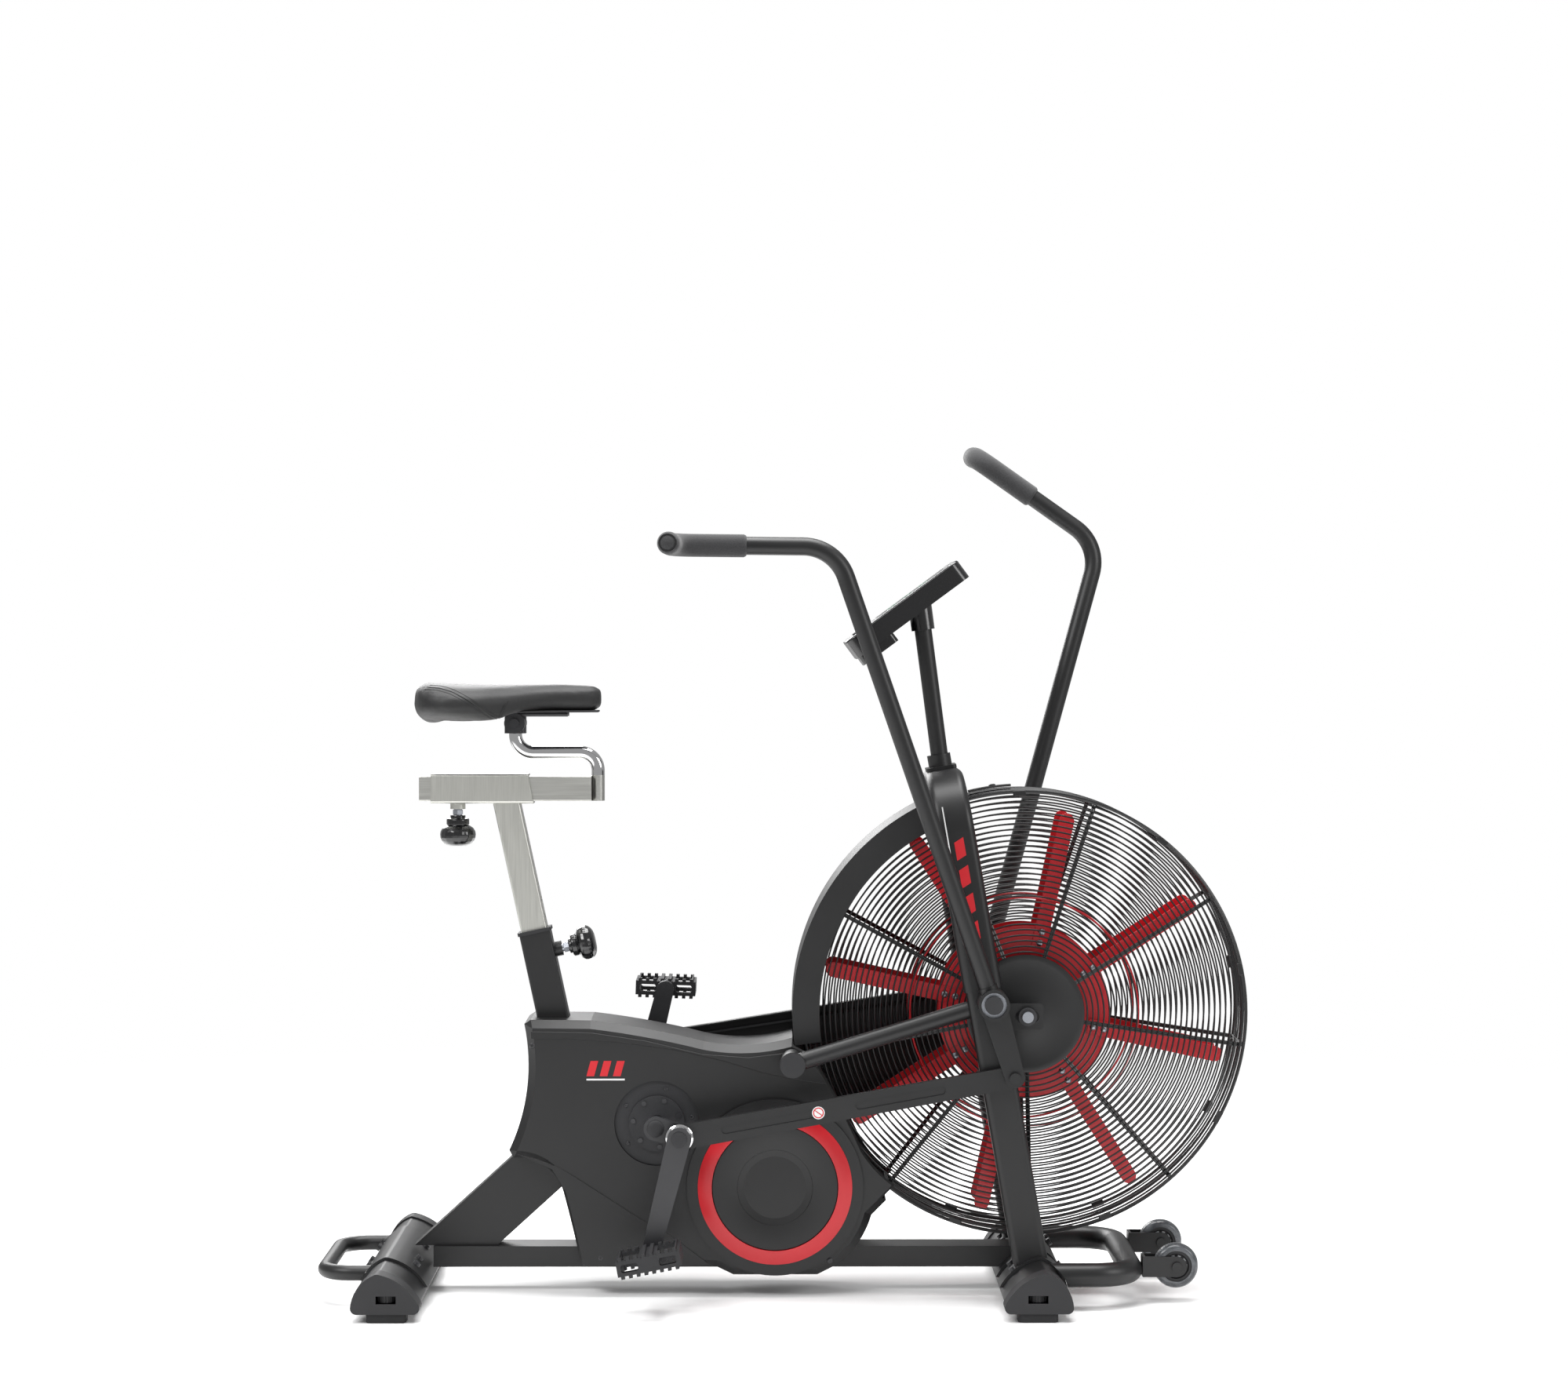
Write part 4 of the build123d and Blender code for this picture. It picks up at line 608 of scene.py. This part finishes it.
def buildGrips():
    leftTurn = 16.5 + 18.357  # the left rocker hangs back as far as its own rod lets it
    for name, side in sides.items():
        turn = 0 if name == "right" else leftTurn
        corner, end, out = (turnedAboutPivot(grip[key], side, turn) for key in ("corner", "end", "out"))
        back, away = unit(corner - end), unit(out - end)
        path = filletPath([end + back * grip["length"], end, out + away * 3 * mm], [grip["bend"]], 5, 3 * mm)
        travel = np.concatenate([[0], np.cumsum(np.linalg.norm(np.diff(path, axis=0), axis=1))])
        total = travel[-1]
        r = grip["radius"]
        ball = np.clip((total - travel) / r, 0, 1)
        lip = np.clip(travel / (2.5 * mm), 0, 1)
        radius = r * np.sqrt(np.clip(1 - (1 - ball) ** 2, 0.0004, 1)) * (0.86 + 0.14 * np.sqrt(lip))
        fine = np.interp(np.linspace(0, 1, 90), travel / total, np.arange(len(path)))
        low = np.floor(fine).astype(int).clip(0, len(path) - 2)
        part = (fine - low)[:, None]
        smoothPath = path[low] * (1 - part) + path[low + 1] * part
        smoothRadius = np.interp(np.linspace(0, 1, 90), travel / total, radius)
        ends = total * np.linspace(0, 1, 90)
        dome = r * np.sqrt(np.clip(1 - ((ends - total + r) / r) ** 2, 0.0004, 1))
        smoothRadius = np.where(ends > total - r, dome, smoothRadius)
        addPiece(f"{name}_foam_grip", tube(smoothPath, smoothRadius, 36), foam, f"{name}_handle",
                 replaces=(f"{name}_grip",))


buildGrips()
print("grips built")


saddle = {"segments": 96, "pressure": 4.0, "voxel": 5 * mm, "cap": 2.5 * mm, "wingLow": 1.5 * mm,
          "noseLift": 15 * mm, "pocket": 58 * mm,
          "seam": [(-474, 877), (-455, 876), (-436, 871), (-414, 860), (-393, 845), (-372, 829)],
          "tuck": [(-360, 855), (-365, 845), (-371, 831)]}
padLow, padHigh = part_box("saddle_pad")


def saddleHalfWidth(share):
    # Half-width along the saddle, from its back (0) to its nose (1): wide wings, then a long narrow nose
    along = [0, 0.03, 0.1, 0.22, 0.36, 0.5, 0.64, 0.78, 0.9, 0.97, 1]
    width = [0.55, 0.76, 0.94, 1.0, 0.93, 0.7, 0.45, 0.31, 0.25, 0.19, 0.08]
    return np.interp(share, along, width) * (padHigh[1] - padLow[1]) / 2


def easeStep(value, start, end):
    # 0 before start, 1 after end, and 3t^2 - 2t^3 between
    t = np.clip((value - start) / (end - start), 0, 1)
    return t * t * (3 - 2 * t)


def smoothed(values, passes):
    for _ in range(passes):
        values[1:-1] = (values[:-2] + 2 * values[1:-1] + values[2:]) / 4
    return values


def saddleShape():
    # Superellipse sections along the saddle: width from the plan above, a crowned top, wings that hang
    # below the middle, where the base steps up into a pocket over the clamp, and ends that close
    rows = 72
    share = (1 - np.cos(np.linspace(0, np.pi, rows))) / 2
    half = smoothed(saddleHalfWidth(share), 6) * 0.965
    x = padLow[0] + 3 * mm + share * (padHigh[0] - padLow[0] - 6 * mm)
    top = padHigh[2] - 2 * mm - 6 * mm * share ** 2 - 3 * mm * np.sin(np.pi * np.clip(share / 0.75, 0, 1))
    base = padLow[2] + saddle["wingLow"] + saddle["noseLift"] * easeStep(share, 0.42, 0.72)
    ends = np.clip(np.minimum(share, 1 - share) / 0.05, 0, 1)
    thick = (top - base) * (0.55 + 0.45 * np.sqrt(1 - (1 - ends) ** 2))
    middle = (top + base) / 2 + 4 * mm * (1 - ends) * (share < 0.5)
    angle = np.linspace(0, 2 * np.pi, saddle["segments"], endpoint=False)[None]
    c, s = np.cos(angle), np.sin(angle)
    y = half[:, None] * np.sign(c) * np.abs(c) ** 0.55
    z = middle[:, None] + thick[:, None] / 2 * np.sign(s) * np.abs(s) ** 0.62
    z = z - 4 * mm * (np.abs(y) / np.maximum(half[:, None], 1e-4)) ** 2.4 * (s > 0) * (half[:, None] / 0.12)
    y = y * (1 - 0.09 * easeStep(-s, 0.0, 0.9))
    inPocket = easeStep(-np.abs(y), -saddle["pocket"] - 8 * mm, -saddle["pocket"] + 6 * mm)
    inPocket = inPocket * easeStep(share[:, None], 0.12, 0.2) * (s < -0.05)
    roof = padLow[2] + saddle["noseLift"] + 1.5 * mm
    z = np.where(z < roof, z + (roof - z) * inPocket, z)
    return gridShape(np.stack(np.broadcast_arrays(x[:, None], y, z), axis=-1))


def puffed(piece):
    # Cloth pressure rounds the padding; no point moves further than the cap
    scene = bpy.context.scene
    remesh = piece.modifiers.new("voxels", "REMESH")
    remesh.mode = "VOXEL"
    remesh.voxel_size = saddle["voxel"]
    applyModifier(piece, "voxels")
    start = meshPoints(piece.data)
    cloth = piece.modifiers.new("cloth", "CLOTH")
    cloth.settings.use_pressure = True
    cloth.settings.uniform_pressure_force = saddle["pressure"]
    cloth.settings.effector_weights.gravity = 0
    cloth.settings.tension_stiffness = 30
    for step in range(1, 21):
        scene.frame_set(step)
    evaluated = piece.evaluated_get(bpy.context.evaluated_depsgraph_get())
    shift = meshPoints(evaluated.data) - start
    size = np.linalg.norm(shift, axis=1)[:, None]
    shift = shift * np.minimum(1, saddle["cap"] / np.maximum(size, 1e-9))
    piece.modifiers.remove(cloth)
    piece.data.vertices.foreach_set("co", (start + shift).ravel())
    piece.data.update()
    scene.frame_set(1)


def onSurface(tree, points, direction, reach=0.2):
    # Where rays from points along a direction first meet the surface; misses are dropped
    hits = []
    for point in points:
        spot, normal, _, _ = tree.ray_cast(Vector(point), Vector(direction), reach)
        if spot is not None:
            hits.append((np.array(spot), np.array(normal)))
    return hits


def buildSaddle():
    piece = addPiece("saddle_cushion", saddleShape(), leather, "saddle")
    piece.data.polygons.foreach_set("use_smooth", [True] * len(piece.data.polygons))
    bpy.context.view_layer.update()
    puffed(piece)
    sub = piece.modifiers.new("smooth", "SUBSURF")
    sub.levels = sub.render_levels = 1
    applyModifier(piece, "smooth")
    piece.data.polygons.foreach_set("use_smooth", [True] * len(piece.data.polygons))
    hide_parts("saddle_pad")
    mesh = piece.data
    tree = BVHTree.FromPolygons(meshPoints(mesh).tolist(), [face.vertices for face in mesh.polygons])
    seams, threads = [], []
    for side in (-1, 1):
        for name in ("seam", "tuck"):
            marks = np.array(saddle[name], float) * mm
            share = np.linspace(0, len(marks) - 1, 70 if name == "seam" else 24)
            x, z = (np.interp(share, np.arange(len(marks)), marks[:, k]) for k in (0, 1))
            x, z = smoothed(x, 12) + datumX, smoothed(z, 12)
            starts = np.stack([x, np.full_like(x, side * 0.16), z], axis=-1)
            hits = onSurface(tree, starts, (0, -side, 0))
            seams.append(tube([spot for spot, normal in hits], 0.8 * mm, 6))
            for offset in (-2.8 * mm, 2.8 * mm):
                beside = onSurface(tree, starts + np.array((offset, 0, offset)), (0, -side, 0))
                row = [spot + normal * 0.2 * mm for spot, normal in beside]
                for a, b in zip(row[:-1], row[1:]):
                    threads.append(tube([a + (b - a) * 0.12, (a + b) / 2, a + (b - a) * 0.88],
                                        [0.25 * mm, 0.45 * mm, 0.25 * mm], 5))
    addPiece("saddle_seams", joined(seams), leather, "saddle")
    addPiece("saddle_stitches", joined(threads), rubber, "saddle")
    t = np.linspace(0.16, 0.97, 60)
    half = np.minimum(smoothed(saddleHalfWidth(t), 6) * 0.8, saddle["pocket"] - 6 * mm)
    rim = [(padLow[0] + s * (padHigh[0] - padLow[0]), h) for s, h in zip(t, half)]
    outline = rim + [(x, -y) for x, y in reversed(rim)]
    pan = slab(outline, (0, 0, padLow[2] + 15.2 * mm), (1, 0, 0), (0, 1, 0), 3 * mm)
    addPiece("saddle_pan", pan, plastic, "saddle", bevel=1 * mm)


buildSaddle()
print("saddle built")


knob = {"ribs": 14, "ripple": 0.02, "profile": [
    (6, 0), (10.5, 0), (11, 1), (11, 4), (15.5, 5), (16.5, 6.5), (16.5, 13), (15.6, 14.6), (18.5, 16.2),
    (22.5, 19), (25.2, 23.5), (26, 28), (25.4, 33), (23.2, 37.6), (19.4, 41.6), (15, 44), (12, 44.8),
    (10.4, 44.3), (0.1, 43.9)]}


def buildKnob(name, node, body, base, axis, length, stud):
    profile = np.array(knob["profile"]) * mm
    fine = np.linspace(0, len(profile) - 1, 90)
    profile = np.stack([np.interp(fine, np.arange(len(profile)), profile[:, k]) for k in (0, 1)], axis=1)
    profile[:, 1] *= length / (45 * mm)

    def ripple(angle, height):
        held = np.clip(np.minimum(height / length - 0.42, 0.92 - height / length) * 8, 0, 1)
        return 1 - knob["ripple"] * held * (0.5 + 0.5 * np.cos(knob["ribs"] * angle))
    addPiece(name, revolved(profile, base, axis, 128, ripple), gloss, body, replaces=(node,))
    addPiece(f"{name}_stud", revolved([(5.9 * mm, -stud), (5.9 * mm, 0.5 * mm)], base, axis, 24), zinc, body)
    nut = [(6.2 * mm, -8 * mm), (8 * mm, -7.6 * mm), (8 * mm, -0.8 * mm), (6.2 * mm, -0.4 * mm)]
    addPiece(f"{name}_nut", turnedRing(nut, base, axis, 6), zinc, body, smooth=False)


lean = np.array(joints["post_knob_pull"]["axis"], float)
down = np.array((lean[2], 0, -lean[0]))
seatTubeTop = np.array((datumX - 323.5 * mm, 0, 519 * mm))
postKnobBase = seatTubeTop + down * 30 * mm + lean * 44 * mm
buildKnob("seat_post_knob", "post_knob", "post_knob_body", postKnobBase, lean, 38.8 * mm, 22 * mm)
sliderKnobBase = np.array((datumX - 436 * mm, 0, 690 * mm))
buildKnob("saddle_slide_knob", "slider_knob", "slider_knob_body", sliderKnobBase, (0, 0, -1), 44.8 * mm,
          20 * mm)
print("knobs built")


wheel = {"tyre": 32.3 * mm, "core": 22 * mm, "half": 11.8 * mm, "bore": 4.1 * mm, "slots": 10,
         "slotRadius": 13.3 * mm, "slotShape": [(-2.3, -1.6), (2.3, -2.4), (2.3, 2.4), (-2.3, 1.6)]}


def buildWheels():
    w = wheel
    for name, side in sides.items():
        centre = pivotOf(f"{name}_wheel_spin")
        turn = np.linspace(-np.pi / 2, np.pi / 2, 15)
        crown = [(w["core"] + (w["tyre"] - w["core"]) * (0.35 + 0.65 * math.cos(a)), w["half"] * math.sin(a))
                 for a in turn]
        ring = [(w["core"], -w["half"])] + crown + [(w["core"], w["half"])]
        body = f"{name}_wheel_body"
        addPiece(f"{name}_wheel_tyre", turnedRing(ring, centre, (0, 1, 0), 64), urethane, body,
                 replaces=(f"{name}_wheel",))
        core = [(w["bore"], -11 * mm), (9 * mm, -11 * mm), (9.5 * mm, -7 * mm), (17 * mm, -7 * mm),
                (18 * mm, -10.5 * mm), (w["core"] - 0.1 * mm, -10.5 * mm)]
        core += [(radius, -y) for radius, y in reversed(core)]
        addPiece(f"{name}_wheel_core", turnedRing(core, centre, (0, 1, 0), 64), plastic, body)
        slots = []
        for k in range(w["slots"]):
            radial, along = compass(2 * np.pi * k / w["slots"])
            for face in (-1, 1):
                place = centre + radial * w["slotRadius"] + np.array((0, face * 7.2 * mm, 0))
                slots.append(slab(np.array(w["slotShape"]) * mm, place, radial, along, 0.8 * mm))
        addPiece(f"{name}_wheel_spokes", joined(slots), clearSpokes, body)


buildWheels()
print("wheels built")


casing = {"ringCentre": (25, 158), "ringInner": 91 * mm, "ringOuter": 111 * mm, "bowlRadius": 54 * mm,
          "bowlDepth": 5.6 * mm, "face": 76 * mm}


def buildRingTrim():
    # A red ring whose face slopes outward, and inside it a flat band round a shallow bowl
    cx, cz = casing["ringCentre"]
    face, inner, outer, bowl = (casing[key] for key in ("face", "ringInner", "ringOuter", "bowlRadius"))
    rings = []
    for name, side in sides.items():
        centre = np.array((datumX + cx * mm, 0, cz * mm))
        slope = [(outer - (outer - inner) * t, face + 1.2 * mm + 3.2 * mm * math.sin(t * np.pi / 2))
                 for t in np.linspace(0, 1, 9)]
        band = [(outer, face - 1 * mm)] + slope + [(inner, face - 1 * mm)]
        rings.append(turnedRing(band, centre, (0, side, 0), 128))
        profile = [(inner - 0.5 * mm, face - 3 * mm), (inner - 0.5 * mm, face + 1.2 * mm),
                   (inner - 1.3 * mm, face + 2 * mm), (bowl + 1.4 * mm, face + 2 * mm),
                   (bowl + 0.4 * mm, face + 1.6 * mm), (bowl, face + 0.8 * mm)]
        for t in np.linspace(0.06, 1, 22):
            radius = bowl * (1 - t) + 0.05 * mm
            profile.append((radius, face + 0.8 * mm - casing["bowlDepth"] * (1 - (radius / bowl) ** 2)))
        addPiece(f"{name}_ring_dish", revolved(profile, centre, (0, side, 0), 128), casingPlastic, "root")
    addPiece("casing_rings", joined(rings), trimRed, "root", replaces=("cover_rings",))


def buildCasingPanels():
    # Raised panels on each casing: a shoulder under its top edge and a skirt below a long sweep
    shoulder = [(-326, 383), (-240, 381), (-160, 369), (-80, 350), (-14, 345), (44, 352), (86, 330),
                (100, 306), (60, 312), (10, 322), (-50, 340), (-120, 356), (-200, 367), (-270, 372),
                (-326, 372)]
    skirt = [(-346, 206), (-318, 199), (-286, 187), (-262, 173), (-215, 143), (-168, 112), (-121, 86),
             (-69, 47), (-62, 45), (-250, 45), (-262, 95), (-276, 151), (-296, 184)]
    for name, side in sides.items():
        shapes = []
        for outline in (shoulder, skirt):
            flat = np.array(outline, float) * mm
            flat[:, 0] += datumX
            shapes.append(slab(flat, (0, side * 72.2 * mm, 0), (1, 0, 0), (0, 0, 1), 2.4 * mm))
        addPiece(f"{name}_casing_panels", joined(shapes), casingPlastic, "root",
                 bevel=1.1 * mm)


def buildMarks():
    # A plain mark on each casing, three slanted red bars over a white line, and a no-step sign on each rod
    for name, side in sides.items():
        y = side * 72.15 * mm
        ahead = np.array((-side, 0, 0.0))
        start = np.array((datumX - (246 if side < 0 else 262) * mm, y, 318 * mm))
        bar = np.array([(0, 0), (11, 0), (17, 22), (6, 22)]) * mm
        red = [slab(bar + (k * 19 * mm, 0), start, ahead, (0, 0, 1), 0.3 * mm) for k in range(3)]
        white = slab(np.array(rectangle(0, -6, 55, -3.6)) * mm, start, ahead, (0, 0, 1), 0.3 * mm)
        addPiece(f"{name}_mark_bars", joined(red), redInk, "root", smooth=False)
        addPiece(f"{name}_mark_line", white, whiteInk, "root", smooth=False)
        journal = pivotOf(f"{name}_rod_journal")
        pin = handlePivot * (1, 0, 1) + rockerPin[name]
        along = unit(pin * (1, 0, 1) - journal * (1, 0, 1))
        place = journal * (1, 0, 1) + along * 0.2 + np.array((0, side * 150.3 * mm, 0))
        up = np.array((-along[2], 0, along[0]))
        disc = [(9 * mm * math.cos(a), 9 * mm * math.sin(a)) for a in np.linspace(0, 2 * np.pi, 40)[:-1]]
        addPiece(f"{name}_rod_label", slab(disc, place, along, up, 0.4 * mm), whiteInk, f"{name}_rod",
                 smooth=False)
        ring = turnedRing(rectangle(6.2 * mm, 0, 7.6 * mm, 0.5 * mm), place, (0, side, 0), 36)
        slash = slab(rectangle(-6.4 * mm, -0.6 * mm, 6.4 * mm, 0.6 * mm),
                     place + np.array((0, side * 0.25 * mm, 0)), unit(along - up), unit(along + up), 0.4 * mm)
        addPiece(f"{name}_rod_sign", joined([ring, slash]), redInk, f"{name}_rod", smooth=False)


def screwHead(place, side, radius=4.2 * mm):
    # A low dome with a star recess, facing out to one side
    def star(angle, height):
        inside = height > 1.35 * mm
        return np.where(inside, 1 + 0.12 * np.cos(6 * angle), 1.0)
    profile = [(radius, 0), (radius, 0.8 * mm), (0.8 * radius, 1.6 * mm), (0.5 * radius, 1.9 * mm),
               (0.42 * radius, 1.9 * mm), (0.4 * radius, 0.6 * mm), (0.02 * radius, 0.6 * mm)]
    return revolved(profile, place, (0, side, 0), 24, star)


def buildScrews():
    heads = []
    for side in sides.values():
        for x, z in ((-324, 362), (66, 350), (-226, 56), (104, 52)):
            heads.append(screwHead(np.array((datumX + x * mm, side * 71.8 * mm, z * mm)), side))
        for angle in (10, 75, 150, 215, 290):
            spot = crankCentre + compass(math.radians(angle))[0] * 51 * mm
            heads.append(screwHead(spot + np.array((0, side * 67.8 * mm, 0)), side, 3 * mm))
    for x, z in ((-200, 180), (-60, 345), (120, 250), (250, 440), (330, 380)):
        heads.append(screwHead(np.array((datumX + x * mm, 96.8 * mm, z * mm)), 1, 3.5 * mm))
    addPiece("casing_screws", joined(heads), forging, "root")


def buildCaps():
    # Domed caps on the crank boss, the journals and the arms, chrome rings beside the rods, cross-tube caps
    dark, bright = [], []
    for name, side in sides.items():
        journal = pivotOf(f"{name}_rod_journal") * (1, 0, 1)
        boss = crankCentre * (1, 0, 1)
        def cap(place, radius, y, height):
            profile = [(radius, 0), (radius, 0.5 * height), (0.85 * radius, 0.9 * height),
                       (0.4 * radius, height), (0.02 * radius, height)]
            return revolved(profile, place + np.array((0, side * y, 0)), (0, side, 0), 40)
        dark.append(("crankset", cap(boss, 12 * mm, 131 * mm, 3.5 * mm)))
        dark.append(("crankset", cap(journal, 11 * mm, 171.9 * mm, 1.5 * mm)))
        bright.append(cap(journal, 19.6 * mm, 150.4 * mm, 5.2 * mm))
        cross = np.array((datumX + 50 * mm, 0, 340 * mm))
        dark.append(("root", cap(cross, 17.8 * mm, 129.9 * mm, 2.5 * mm)))
    for body in ("crankset", "root"):
        shapes = [shape for owner, shape in dark if owner == body]
        addPiece(f"{body}_caps", joined(shapes), plastic, body)
    addPiece("journal_rings", joined(bright), chrome, "crankset")


def buildForkStripes():
    # Plain stripes on the outer face of each fork leg: a thin white line and four red blocks
    ahead, up = compass(math.radians(9.94))  # the fork's lean back from upright
    foot = np.array((datumX + 388 * mm, 0, 65 * mm))
    for name, side in sides.items():
        blocks = []
        face = np.array((0, side * 134.05 * mm, 0))
        middle = foot + up * 560 * mm + face
        line = slab(rectangle(-0.9 * mm, -120 * mm, 0.9 * mm, 95 * mm), middle + ahead * -13 * mm, ahead, up,
                    0.3 * mm)
        for k in range(4):
            z = -104 * mm + 40 * mm * k
            slant = 6 * mm
            block = [(-5 * mm, z), (9 * mm, z + slant), (9 * mm, z + 26 * mm + slant), (-5 * mm, z + 26 * mm)]
            blocks.append(slab(block, middle, ahead, up, 0.3 * mm))
        addPiece(f"{name}_fork_line", line, whiteInk, "root", smooth=False)
        addPiece(f"{name}_fork_blocks", joined(blocks), redInk, "root", smooth=False)


buildRingTrim()
buildCasingPanels()
buildMarks()
buildScrews()
buildCaps()
buildForkStripes()
print("casing details built")


display = {"slope": 36.4, "height": 15 * mm, "stroke": 1.7 * mm, "digits": (
    (-40, 38, "12:45"), (34, 38, "86"), (-40, 10, "24.5"), (29, 10, "152"), (-40, -18, "07.30"),
    (29, -18, "218"))}
segmentsOf = {"0": "abcdef", "1": "bc", "2": "abged", "3": "abgcd", "4": "fgbc", "5": "afgcd", "6": "afgedc",
              "7": "abc", "8": "abcdefg", "9": "abcdfg"}


def segmentBars(h, s):
    # The seven bars of a digit, each as (x, y, width, height) about its middle
    w = h * 0.5
    return {"a": (0, h / 2, w - s, s), "g": (0, 0, w - s, s), "d": (0, -h / 2, w - s, s),
            "f": (-w / 2, h / 4, s, h / 2 - s), "b": (w / 2, h / 4, s, h / 2 - s),
            "e": (-w / 2, -h / 4, s, h / 2 - s), "c": (w / 2, -h / 4, s, h / 2 - s)}


def buildDisplay():
    origin = np.array((datumX + 205.3 * mm, 0, 1000.5 * mm))
    up, out = compass(math.radians(display["slope"]))  # up the slope, as the rider reads it, and out of it
    right = np.array((0, -1.0, 0))                     # the rider's right
    bars = []
    for x0, y0, text in display["digits"]:
        pen = (x0 - 14) * mm
        place = origin + up * (y0 + 5) * mm + out * 0.15 * mm
        for character in text:
            if character in segmentsOf:
                table = segmentBars(display["height"], display["stroke"])
                marks = [table[key] for key in segmentsOf[character]]
                step = 11 * mm
            else:
                heights = (-3.5, 3.5) if character == ":" else (-7,)
                marks = [(-3.5 * mm, y * mm, 2 * mm, 2 * mm) for y in heights]
                step = 3 * mm
            for x, y, w, t in marks:
                outline = rectangle(pen + x - w / 2, y - t / 2, pen + x + w / 2, y + t / 2)
                bars.append(slab(outline, place, right, up, 0.2 * mm))
            pen += step
    addPiece("display_digits", joined(bars), digitInk, "root", smooth=False)


buildDisplay()
print("display built")


stage = {"floorHex": "#ffffff", "skyStrength": 0.4, "fadeFrom": 1.3, "fadeTo": 3.2}
view = {"place": (datumX + 13 * mm, -5.364, 0.962), "pan": 0.27, "tilt": 1.08, "lens": 84.7}


def buildStage():
    # A white floor that fades into the white surround, so that no horizon shows behind the machine
    floor = slab([(-8, -8), (8, -8), (8, 8), (-8, 8)], (0, 0, -0.011), (1, 0, 0), (0, 1, 0), 0.02)
    mesh = bpy.data.meshes.new("studio_floor")
    mesh.from_pydata(floor[0].tolist(), [], floor[1])
    ground = bpy.data.objects.new("studio_floor", mesh)
    bpy.context.scene.collection.objects.link(ground)
    material, tree, shader, place = newMaterial("paper_backdrop", {
        "Base Color": linear(stage["floorHex"]), "Roughness": 0.85, "Specular IOR Level": 0.1})
    distance = addNode(tree, "ShaderNodeVectorMath", {"operation": "LENGTH"}, {0: place})
    fade = addNode(tree, "ShaderNodeMapRange",
                   {"interpolation_type": "SMOOTHSTEP", "From Min": stage["fadeFrom"],
                    "From Max": stage["fadeTo"], "To Min": 1.0, "To Max": 0.0},
                   {"Value": distance.outputs["Value"]})
    tree.links.new(fade.outputs["Result"], shader.inputs["Alpha"])
    mesh.materials.append(material)
    world = bpy.data.worlds.new("studio_world")
    bpy.context.scene.world = world
    world.use_nodes = True
    tree = world.node_tree
    tree.nodes.clear()
    light = addNode(tree, "ShaderNodeBackground", {"Color": grey(1.0), "Strength": stage["skyStrength"]})
    seen = addNode(tree, "ShaderNodeBackground", {"Color": grey(1.0), "Strength": 1.0})
    path = addNode(tree, "ShaderNodeLightPath")
    mix = addNode(tree, "ShaderNodeMixShader", links={0: path.outputs["Is Camera Ray"], 1: light.outputs[0],
                                                      2: seen.outputs[0]})
    addNode(tree, "ShaderNodeOutputWorld", links={"Surface": mix.outputs[0]})
    bpy.context.scene.view_settings.view_transform = "Standard"


def addArea(name, place, target, size, power):
    light = bpy.data.lights.new(name, "AREA")
    light.shape = "RECTANGLE"
    light.size, light.size_y = size
    light.energy = power
    holder = bpy.data.objects.new(name, light)
    holder.location = place
    holder.rotation_euler = (Vector(target) - Vector(place)).to_track_quat("-Z", "Y").to_euler()
    bpy.context.scene.collection.objects.link(holder)


def buildCamera():
    camera = bpy.data.cameras.new("camera")
    camera.lens = view["lens"]
    camera.sensor_width = 36
    holder = bpy.data.objects.new("camera", camera)
    holder.location = view["place"]
    holder.rotation_euler = (math.radians(90 - view["tilt"]), 0, math.radians(-view["pan"]))
    bpy.context.scene.collection.objects.link(holder)
    bpy.context.scene.camera = holder


buildStage()
addArea("key_softbox", (-2.6, -2.6, 3.4), (0, 0, 0.5), (2.4, 1.2), 110)
addArea("fill_softbox", (3.4, -2.2, 2.2), (0.1, 0, 0.5), (1.6, 2.0), 60)
addArea("top_softbox", (0.0, 0.2, 3.9), (0, 0, 0.3), (3.0, 2.4), 210)
addArea("rim_softbox", (-1.2, 3.4, 2.2), (0, 0, 0.6), (1.8, 1.8), 70)
buildCamera()
print("stage built")
